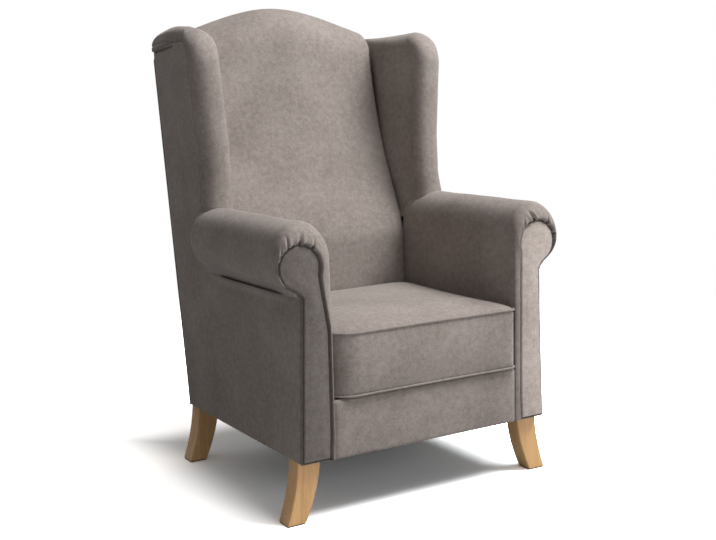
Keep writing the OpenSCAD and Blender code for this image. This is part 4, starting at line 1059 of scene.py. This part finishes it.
# Loose seat cushion
cushion = {
    "halfWide": 0.2594,
    "frontY": -0.40304, "backY": 0.08996,
    "cornerRadii": (0.022, 0.040, 0.045, 0.056),   # front right, rear right, rear left, front left
    "lowZ": 0.2873,
    "pipingRadius": 0.0027,
    "pipingLowZ": 0.2918, "pipingHighZ": 0.4378,
    "pipingProud": 0.002, "pipingStep": 0.006,
    "seamIn": 0.0012,        # the cover starts this far inside the outline
    "underGap": 0.0004, "seamRows": (0.001, 0.004), "seamShare": 0.994,
    "underShares": (0.1, 0.4, 0.7, 0.9, 0.965),
    "clearance": 0.0002,
    "crown": 0.028,          # how far the middle of the top stands above its piping
    "crownStart": 0.7,       # share of the crown that it has before it is blown up
    "crownShares": ((0.975, 0.2), (0.93, 0.4), (0.84, 0.62), (0.68, 0.82), (0.45, 0.95), (0.2, 1), (0.05, 1)),
    "seamHigh": 0.0038,
    "sideDraw": 0.003,
    "borderBulge": 0.007,
    "voxel": 0.006,
    "pressure": 4.0, "mass": 0.35, "stretch": 18, "shear": 8, "bend": 2,
    "heldAside": 0.012, "heldHigh": 0.005,   # what lies this near to a seam is held by it
    "quality": 6, "frames": 20,
    "cap": 0.022,            # the furthest that any point may move while it is blown up
}


def cushionOutline(inset=0.0):
    half, draw, corners = cushion["halfWide"], cushion["sideDraw"], []
    for number, r in enumerate(cushion["cornerRadii"]):
        x = (half - r) * (1 if number < 2 else -1)
        y = cushion["backY"] - r if number in (1, 2) else cushion["frontY"] + r
        turns = np.radians(90 * number - 90 + np.linspace(0, 90, 13))
        corners.append(np.array([x, y]) + r * np.stack([np.cos(turns), np.sin(turns)], axis=1))
    line = []
    for number, corner in enumerate(corners):
        a, b = corner[-1], corners[(number + 1) % 4][0]
        along = unit(b - a)
        inwards = draw * np.array([-along[1], along[0]])
        line += list(corner)
        line += [a + (b - a) * t + math.sin(math.pi * t) * inwards for t in np.linspace(0, 1, 42)[1:-1]]
    return pushedIn(np.array(line), inset)


def makeCushionStart(name):  # height, share of the outline and bulge of each row
    middle = np.array([0, (cushion["frontY"] + cushion["backY"]) / 2])
    lowPiping, highPiping = cushion["pipingLowZ"], cushion["pipingHighZ"]
    rise = cushion["crown"] * cushion["crownStart"]
    outside, inside = cushion["seamRows"]    # a row on each side of each seam
    rows = [(cushion["lowZ"] + cushion["underGap"], share, 0) for share in cushion["underShares"]]
    rows += [(lowPiping - outside, cushion["seamShare"], 0), (lowPiping + inside, 1, 0)]
    rows += [(mix(lowPiping, highPiping, t), 1, math.sin(math.pi * t) / 2) for t in np.linspace(0.1, 0.9, 9)]
    rows += [(highPiping - inside, 1, 0), (highPiping + outside, cushion["seamShare"], 0)]
    rows += [(highPiping + rise * high, share, 0) for share, high in cushion["crownShares"]]
    outline = cushionOutline(cushion["seamIn"])
    rings = []
    for z, share, bulge in rows:
        x, y = (middle + (outline - middle) * share).T
        front = np.clip((middle[1] - y) / (cushion["backY"] - cushion["frontY"]) * 4 - 1, 0, 1)
        y = y - cushion["borderBulge"] * bulge * front * (1 - (np.abs(x) / cushion["halfWide"]) ** 4)
        rings.append(np.stack([x, y, np.full(len(x), z)], axis=1))
    return fromRings(name, rings)


def applied(made):  # what the modifiers make becomes the mesh itself
    bpy.context.view_layer.update()
    mesh = bpy.data.meshes.new_from_object(made.evaluated_get(bpy.context.evaluated_depsgraph_get()))
    made.modifiers.clear()
    made.data = mesh
    points = np.empty(len(mesh.vertices) * 3)
    mesh.vertices.foreach_get("co", points)
    return points.reshape(-1, 3)


def fill(made, start):  # blows the cover up between its two seams, and gives where its points come to
    outline = cushionOutline()
    aside = np.sqrt(((start[:, None, :2] - outline[None, :, :]) ** 2).sum(2)).min(1)
    high = np.abs(start[:, 2:] - [cushion["pipingHighZ"], cushion["pipingLowZ"]]).min(1)
    held = (aside < cushion["heldAside"]) & (high < cushion["heldHigh"])
    made.vertex_groups.new(name="seams").add(np.nonzero(held)[0].tolist(), 1.0, "REPLACE")
    rules = made.modifiers.new("cover", "CLOTH").settings
    rules.quality = cushion["quality"]
    rules.mass = cushion["mass"]
    rules.tension_stiffness = rules.compression_stiffness = cushion["stretch"]
    rules.shear_stiffness = cushion["shear"]
    rules.bending_stiffness = cushion["bend"]
    rules.use_pressure = True
    rules.uniform_pressure_force = cushion["pressure"]
    rules.vertex_group_mass = "seams"
    rules.effector_weights.gravity = 0
    for number in range(1, cushion["frames"] + 1):
        bpy.context.scene.frame_set(number)
    move = applied(made) - start
    made.vertex_groups.clear()
    bpy.context.scene.frame_set(1)
    length = np.linalg.norm(move, axis=1, keepdims=True)
    return start + move * np.minimum(1, cushion["cap"] / np.maximum(length, 1e-9))


def makeCushion(name):
    made = makeCushionStart(name)
    skin = made.modifiers.new("evenSkin", "REMESH")
    skin.mode = "VOXEL"
    skin.voxel_size = cushion["voxel"]
    points = applied(made)
    points = fill(made, points)
    # the crown and the seams are fitted to the real cushion, which lies flat on the deck
    highZ, limit = cushion["pipingHighZ"], cushion["halfWide"] - cushion["clearance"]
    rise = points[:, 2] - highZ
    crown = (cushion["seamHigh"] + cushion["crown"]) / np.percentile(rise, 99.8)
    points[:, 2] = np.where(rise > 0, highZ + rise * crown, points[:, 2])
    points[:, 2] = np.maximum(points[:, 2], cushion["lowZ"] + cushion["clearance"])
    points[:, 0] = np.clip(points[:, 0], -limit, limit)
    points[:, 1] = np.clip(points[:, 1], cushion["frontY"] - cushion["borderBulge"], cushion["backY"])
    made.data.vertices.foreach_set("co", points.reshape(-1))
    made.data.update()
    finer = made.modifiers.new("finer", "SUBSURF")
    finer.levels = finer.render_levels = 1
    applied(made)
    made.data.shade_smooth()
    return made


def makeCushionPiping(name, z):
    path = cushionOutline(cushion["pipingRadius"] - cushion["pipingProud"])
    path = resample(np.concatenate([path, path[:1]]), cushion["pipingStep"])[:-1]
    return tube(name, [[x, y, z] for x, y in path], cushion["pipingRadius"])


seat = dress(makeCushion("seatCushion"), "upholstery", "cushion", "cushion_cover", "cushion_core")
for end, z in (("Top", cushion["pipingHighZ"]), ("Bottom", cushion["pipingLowZ"])):
    dress(makeCushionPiping("cushionPiping" + end, z), "piping", "cushion", "cushion_piping_" + end.lower())
print("seat cushion made")


# Under the cushion and inside the back: felt, deck, webbing and dust cover
inside = {
    "half": 0.2614, "frontY": -0.3836, "backY": 0.2407,
    "feltTop": 0.2698, "feltThick": 0.0038, "feltSlack": 0.0004, "springPitch": 0.0986, "springDent": 0.0011,
    "deckTop": 0.2870, "deckThick": 0.0165, "deckSlack": 0.0007, "deckRound": 0.008,
    "deckSeamY": -0.300, "deckSeam": 0.0030, "deckSeamWide": 0.005,
    "coverHalf": 0.3447, "coverBackY": 0.2447, "coverTop": 0.1495, "coverThick": 0.0010,
    "coverSag": 0.0012, "sagSpan": (0.09, 0.12),
    "steps": {"felt": 0.005, "deck": 0.004, "cover": 0.006},
    "tackPitch": 0.045, "tackPull": 0.0002, "tackReach": 0.03,
}


def flatGrid(x0, x1, y0, y1, step, height):  # rows of points over a rectangle, at heights from height
    xs, ys = (np.linspace(a, b, round((b - a) / step) + 1) for a, b in ((x0, x1), (y0, y1)))
    x, y = np.meshgrid(xs, ys)
    return np.stack([x, y, height(x, y)], axis=2)


def slackness(x, y, size, seed):
    return ripple(np.stack([x, y, x * 0], axis=2).reshape(-1, 3), size, seed).reshape(x.shape)


def edgeDistance(x, y, half, backY):
    return np.minimum(half - np.abs(x), np.minimum(y - inside["frontY"], backY - y))


def feltHeight(x, y):  # dented over each spring
    dent = inside["springDent"] * (0.5 - 0.5 * np.cos(x / inside["springPitch"] * 2 * math.pi))
    return inside["feltTop"] - dent - inside["feltSlack"] * np.abs(slackness(x, y, 0.05, 71))


def deckHeight(x, y):  # rounded at its edges, with a seam across behind the front strip
    r = inside["deckRound"]
    near = r - np.clip(edgeDistance(x, y, inside["half"], inside["backY"]), 0, r)
    top = inside["deckTop"] - 0.7 * (r - np.sqrt(r ** 2 - near ** 2))
    seam = inside["deckSeam"] * bump(y - inside["deckSeamY"], inside["deckSeamWide"])
    return top - seam - inside["deckSlack"] * (1 + slackness(x, y, 0.17, 72))


def coverHeight(x, y):  # tacked up along its folded edge, hanging a little between
    edge = edgeDistance(x, y, inside["coverHalf"], inside["coverBackY"])
    pull = 1 - np.prod([np.cos(way / inside["tackPitch"] * 2 * math.pi) for way in (x, y)], axis=0)
    sag = inside["coverSag"] * fade(edge, inside["sagSpan"]) * (0.8 + 0.2 * slackness(x, y, 0.12, 73))
    return inside["coverTop"] - sag - inside["tackPull"] * (1 - ease(edge / inside["tackReach"])) * pull


area = (-inside["half"], inside["half"], inside["frontY"], inside["backY"])
felt = fromGrid("springFelt", flatGrid(*area, inside["steps"]["felt"], feltHeight), inside["feltThick"])
dress(felt, "felt", "chair", "spring_felt")
deck = fromGrid("seatDeck", flatGrid(*area, inside["steps"]["deck"], deckHeight), inside["deckThick"])
dress(deck, "lining", "chair", "seat_deck")
area = (-inside["coverHalf"], inside["coverHalf"], inside["frontY"], inside["coverBackY"])
dust = fromGrid("dustCover", flatGrid(*area, inside["steps"]["cover"], coverHeight), inside["coverThick"])
dress(dust, "lining", "chair", "dust_cover")

webbing = {
    "wide": 0.050, "thick": 0.0014, "half": 0.3003, "tack": 0.011,
    "y": -0.0531,            # in the plane that leans with the back
    "low": 0.21487, "high": 0.9300,
    "acrossShares": (0.14, 0.38, 0.62, 0.86), "uprightShares": (-0.62, 0, 0.62),
    "weave": 0.0012, "weaveReach": 0.034,
    "ridge": 0.00018, "ridges": 5, "step": 0.006,
}
acrossHeights = [mix(webbing["low"], webbing["high"], share) for share in webbing["acrossShares"]]
uprightPlaces = [share * webbing["half"] for share in webbing["uprightShares"]]


def leaning(x, y, z):  # from the plane of the outside back to the chair's own axes
    rake = math.radians(chair["rake"])
    return [x, lowRearY + y * math.cos(rake) + z * math.sin(rake),
            chair["bottomZ"] - y * math.sin(rake) + z * math.cos(rake)]


def makeStrap(name, start, end, row, level):  # a band woven over and under those that cross it
    start, end = np.array(start), np.array(end)
    run = np.linalg.norm(end - start)
    along = (end - start) / run
    beside = np.array([-along[1], along[0]])
    crossings, axis, sign = (uprightPlaces, 0, 1) if level else (acrossHeights, 1, -1)
    grid = []
    for s in np.linspace(0, run, round(run / webbing["step"]) + 1):
        middle = start + along * s
        over = sum((1 if (number + row) % 2 else -1) * bump(middle[axis] - at, webbing["weaveReach"])
                   for number, at in enumerate(crossings))
        y = webbing["y"] - webbing["thick"] / 2 + webbing["weave"] * over * sign
        line = []
        for t in np.linspace(-0.5, 0.5, 11):
            x, z = middle + beside * t * webbing["wide"]
            ridge = webbing["ridge"] * math.cos(t * 2 * math.pi * webbing["ridges"])
            line.append(leaning(x, y + ridge, z))
        grid.append(line)
    strap = fromGrid(name, grid, webbing["thick"])
    return strap


straps, reach = [], webbing["half"] + webbing["tack"]
for row, z in enumerate(acrossHeights):
    straps.append(makeStrap(f"webbingAcross{row + 1}", (-reach, z), (reach, z), row, True))
for row, x in enumerate(uprightPlaces):
    low, high = (x, webbing["low"]), (x, webbing["high"])
    straps.append(makeStrap(f"webbingUpright{row + 1}", low, high, row, False))
for number, strap in enumerate(straps):
    dress(strap, "webbing", "chair", *(["back_webbing"] if number == 0 else []))

zipper = {
    "half": 0.205, "middleZ": 0.3648,
    "tapeHalf": 0.0127, "tapeY": 0.0808, "tapeThick": 0.0009, "tapeHem": 0.0002,
    "pitch": 0.0022, "toothWide": 0.46, "toothHigh": 0.0017, "toothShift": 0.0007,
    "toothRows": ((0.0001, 1.0), (0.00132, 1.0), (0.0022, 0.72)),   # how far out, and the share of its width
}


def makeZipTape():
    half, hem = zipper["tapeHalf"], zipper["tapeHem"]
    places, grid = np.linspace(-zipper["half"], zipper["half"], 120), []
    for z in np.linspace(-half, half, 13):
        y = zipper["tapeY"] - hem + hem * math.cos(z / half * 3 * math.pi)
        grid.append([[x, y, zipper["middleZ"] + z] for x in places])
    return fromGrid("zipTape", grid, zipper["tapeThick"])


def makeZipTeeth():  # one tooth after another, from the upper and the lower tape by turns
    points, faces, sides = [], [], 8
    wide, high = zipper["toothWide"] * zipper["pitch"], zipper["toothHigh"]
    for number in range(int(2 * zipper["half"] / zipper["pitch"]) - 2):
        x = -zipper["half"] + (number + 1.5) * zipper["pitch"]
        z = zipper["middleZ"] + zipper["toothShift"] * (1 if number % 2 else -1)
        start = len(points)
        for out, share in zipper["toothRows"]:
            points += [[x + wide * share * math.cos(a), zipper["tapeY"] + out, z + high * share * math.sin(a)]
                       for a in np.linspace(0, 2 * math.pi, sides + 1)[:-1]]
        faces += ringFaces(3, sides, start)
        faces += [tuple(range(start, start + sides)), tuple(range(start + 2 * sides, start + 3 * sides))]
    return makeObject("zipTeeth", points, faces, 40)


tape = dress(makeZipTape(), "zip_tape", "cushion", "cushion_zip")
teeth = dress(makeZipTeeth(), "zip_metal", "cushion")
print("felt, deck, dust cover, webbing and zip made")


# Legs: planks sawn to a sabre curve, edges eased
leg = {
    "outX": 0.346, "frontY": -0.36604, "rearY": 0.20096,
    "topWide": 0.058, "footWide": 0.048, "thick": 0.047,
    "splay": 0.031, "sweep": 1.7,
    "footZ": 0.0025, "easedEdge": 0.003,
    "footRound": 0.0016, "roundShare": 0.024,
}


def makeLeg(name, side, y):
    footX, r = leg["outX"] + leg["splay"], leg["easedEdge"]
    rings = []
    for s in np.concatenate([[0, 0.004, 0.012, leg["roundShare"]], np.linspace(0.04, 1, 34)]):
        z, bent = mix(leg["footZ"], chair["bottomZ"], s), (1 - s) ** leg["sweep"]
        outX = mix(leg["outX"], footX, bent) - r
        inX = mix(leg["outX"] - leg["topWide"], footX - leg["footWide"], bent) + r
        near, far = y + r, y + leg["thick"] - r
        edge = r - leg["footRound"] * (1 - math.sqrt(1 - (1 - clamp(s / leg["roundShare"])) ** 2))
        ring = []
        for number, (x, middleY) in enumerate(((outX, near), (outX, far), (inX, far), (inX, near))):
            for turn in np.radians(90 * number - 90 + np.linspace(0, 90, 6)):
                ring.append([x + edge * math.cos(turn), middleY + edge * math.sin(turn), z])
        rings.append(mirrored(ring, side))
    return fromRings(name, rings, sharp=60)


for side in (1, -1):
    for end, y in (("Front", leg["frontY"]), ("Rear", leg["rearY"])):
        made = makeLeg("leg" + end + sideNames[side], side, y)
        dress(made, "beech", "chair", "leg_" + end.lower() + cadSides[side])
print("legs made")


# Room, lamps and camera
studio = {
    "lampTarget": (0.0, 0.0, 0.55),
    "keyPower": 243.0, "keySize": 2.3, "keyAt": (1.90, -1.55, 4.00),
    "fillPower": 17.0, "fillSize": 1.6, "fillAt": (0.2, -2.9, 0.9),
    "roomLow": 0.09, "roomHigh": 0.36, "roomTint": (1.0, 0.955, 0.93, 1),
    "floorTone": 0.50, "floorGrain": 0.02, "floorTint": (0.955, 0.985, 1.0), "floorHalf": 9,
    "floorUnderShade": 1.55, "floorShown": 4.7,   # lifts the floor to white for the camera, less under the chair, where the lower lift is painted shade deepening the chair's shadow
    "underMiddle": (0.0, 0.05, 0.0), "underFrom": 0.32, "underTo": 0.50,
    "whiteFrom": 1.6, "whiteTo": 2.8,
}


def addLamp(name):
    lamp = bpy.data.lights.new(name + "Softbox", "AREA")
    lamp.energy = studio[name + "Power"]
    lamp.shape = "DISK"
    lamp.size = studio[name + "Size"]
    made = bpy.data.objects.new(name + "Softbox", lamp)
    bpy.context.collection.objects.link(made)
    made.location = at = Vector(studio[name + "At"])
    made.rotation_euler = (Vector(studio["lampTarget"]) - at).to_track_quat("-Z", "Y").to_euler()


def greater(made, first, second):
    return made.node("ShaderNodeMath", {"operation": "MAXIMUM"}, {0: first, 1: second})


def shownRays(made):  # 1 where the camera, a reflection or glass looks at the surroundings
    kinds = ("Camera", "Glossy", "Transmission")
    camera, glossy, through = [made.node("ShaderNodeLightPath", give=f"Is {kind} Ray") for kind in kinds]
    return greater(made, greater(made, camera, glossy), through)


def makeRoom():  # a pale room, brighter overhead, and white where it is looked at
    world = bpy.data.worlds.new("studioRoom")
    bpy.context.scene.world = world
    room = Finish("studioRoom", world)
    seen = shownRays(room)
    way = room.node("ShaderNodeTexCoord", give="Generated")
    height = room.node("ShaderNodeSeparateXYZ", {}, {"Vector": way}, "Z")
    reach = {"Value": height, "To Min": studio["roomLow"], "To Max": studio["roomHigh"]}
    level = room.node("ShaderNodeMapRange", {}, reach)
    level = level + seen * (1.0 - level)
    tint = room.blend(seen, studio["roomTint"], (1, 1, 1, 1))
    glow = room.node("ShaderNodeBackground", {}, {"Color": tint, "Strength": level})
    room.tree.links.new(glow.socket, room.tree.nodes["World Output"].inputs["Surface"])


def smoothStep(made, value, start, end, low=0.0, high=1.0):
    reach = {"Value": value, "From Min": start, "From Max": end, "To Min": low, "To Max": high}
    return made.node("ShaderNodeMapRange", {"interpolation_type": "SMOOTHSTEP"}, reach)


def floorFinish():  # pale floor that keeps the shadow, painted darker under the chair, and turns white away from it
    made = Finish("paleFloor")
    made.tree.nodes.remove(made.shader)
    here = made.place()
    away = made.node("ShaderNodeVectorMath", {"operation": "LENGTH"}, {0: here}, "Value")
    far = smoothStep(made, away, studio["whiteFrom"], studio["whiteTo"])
    tones = [[studio["floorTone"] + more] * 3 for more in (0, studio["floorGrain"])]
    plain = made.ramp(made.cloud(here, 30.0, 2.0), list(zip((0.3, 0.7), tones)))
    beside = made.node("ShaderNodeVectorMath", {"operation": "SUBTRACT"}, {0: here, 1: studio["underMiddle"]})
    beside = made.node("ShaderNodeVectorMath", {"operation": "ABSOLUTE"}, {0: beside})
    across, along = [made.node("ShaderNodeSeparateXYZ", {}, {"Vector": beside}, axis) for axis in "XY"]
    # the camera's lift is lower under the chair: painted shade
    lift = smoothStep(made, greater(made, across, along), studio["underFrom"], studio["underTo"],
                      studio["floorUnderShade"], studio["floorShown"])
    channels = zip(("Red", "Green", "Blue"), studio["floorTint"])
    shown = made.node("ShaderNodeCombineColor", {}, {name: lift * share for name, share in channels})
    tone = made.blend(made.node("ShaderNodeLightPath", give="Is Camera Ray"), plain, shown)
    matte = made.node("ShaderNodeBsdfDiffuse", {}, {"Color": tone})
    white = made.node("ShaderNodeEmission", {}, {"Strength": 1.0})
    both = made.node("ShaderNodeMixShader", {}, {0: far * shownRays(made), 1: matte, 2: white})
    made.tree.links.new(both.socket, made.tree.nodes["Material Output"].inputs["Surface"])
    return made.owner


addLamp("key")
addLamp("fill")
makeRoom()
floorPlaces = np.linspace(-studio["floorHalf"], studio["floorHalf"], 19)
floor = fromGrid("floor", [[[x, y, 0.0] for x in floorPlaces] for y in floorPlaces])
floor.data.materials.append(floorFinish())

camera = {
    "at": (-1.4942, -2.5736, 0.9791),
    "forward": (0.5067, 0.8481, -0.1549),
    "roll": -1.353,
    "lens": 57.205, "sensor": 36.0,
    "farthest": 50,
}


def placeCamera():
    lens = bpy.data.cameras.new("photoCamera")
    lens.lens = camera["lens"]
    lens.sensor_width = camera["sensor"]
    lens.sensor_fit = "HORIZONTAL"
    lens.clip_end = camera["farthest"]
    viewer = bpy.data.objects.new("photoCamera", lens)
    bpy.context.collection.objects.link(viewer)
    ahead = Vector(camera["forward"]).normalized()
    right = ahead.cross(Vector((0, 0, 1))).normalized()
    upward = right.cross(ahead)
    tilt = math.radians(camera["roll"])
    sideways = right * math.cos(tilt) + upward * math.sin(tilt)
    upright = upward * math.cos(tilt) - right * math.sin(tilt)
    turned = Matrix((sideways, upright, -ahead)).transposed().to_4x4()
    viewer.matrix_world = Matrix.Translation(camera["at"]) @ turned
    bpy.context.scene.camera = viewer


placeCamera()
bpy.context.scene.view_settings.view_transform = "Standard"
print("room, lamps and camera set")
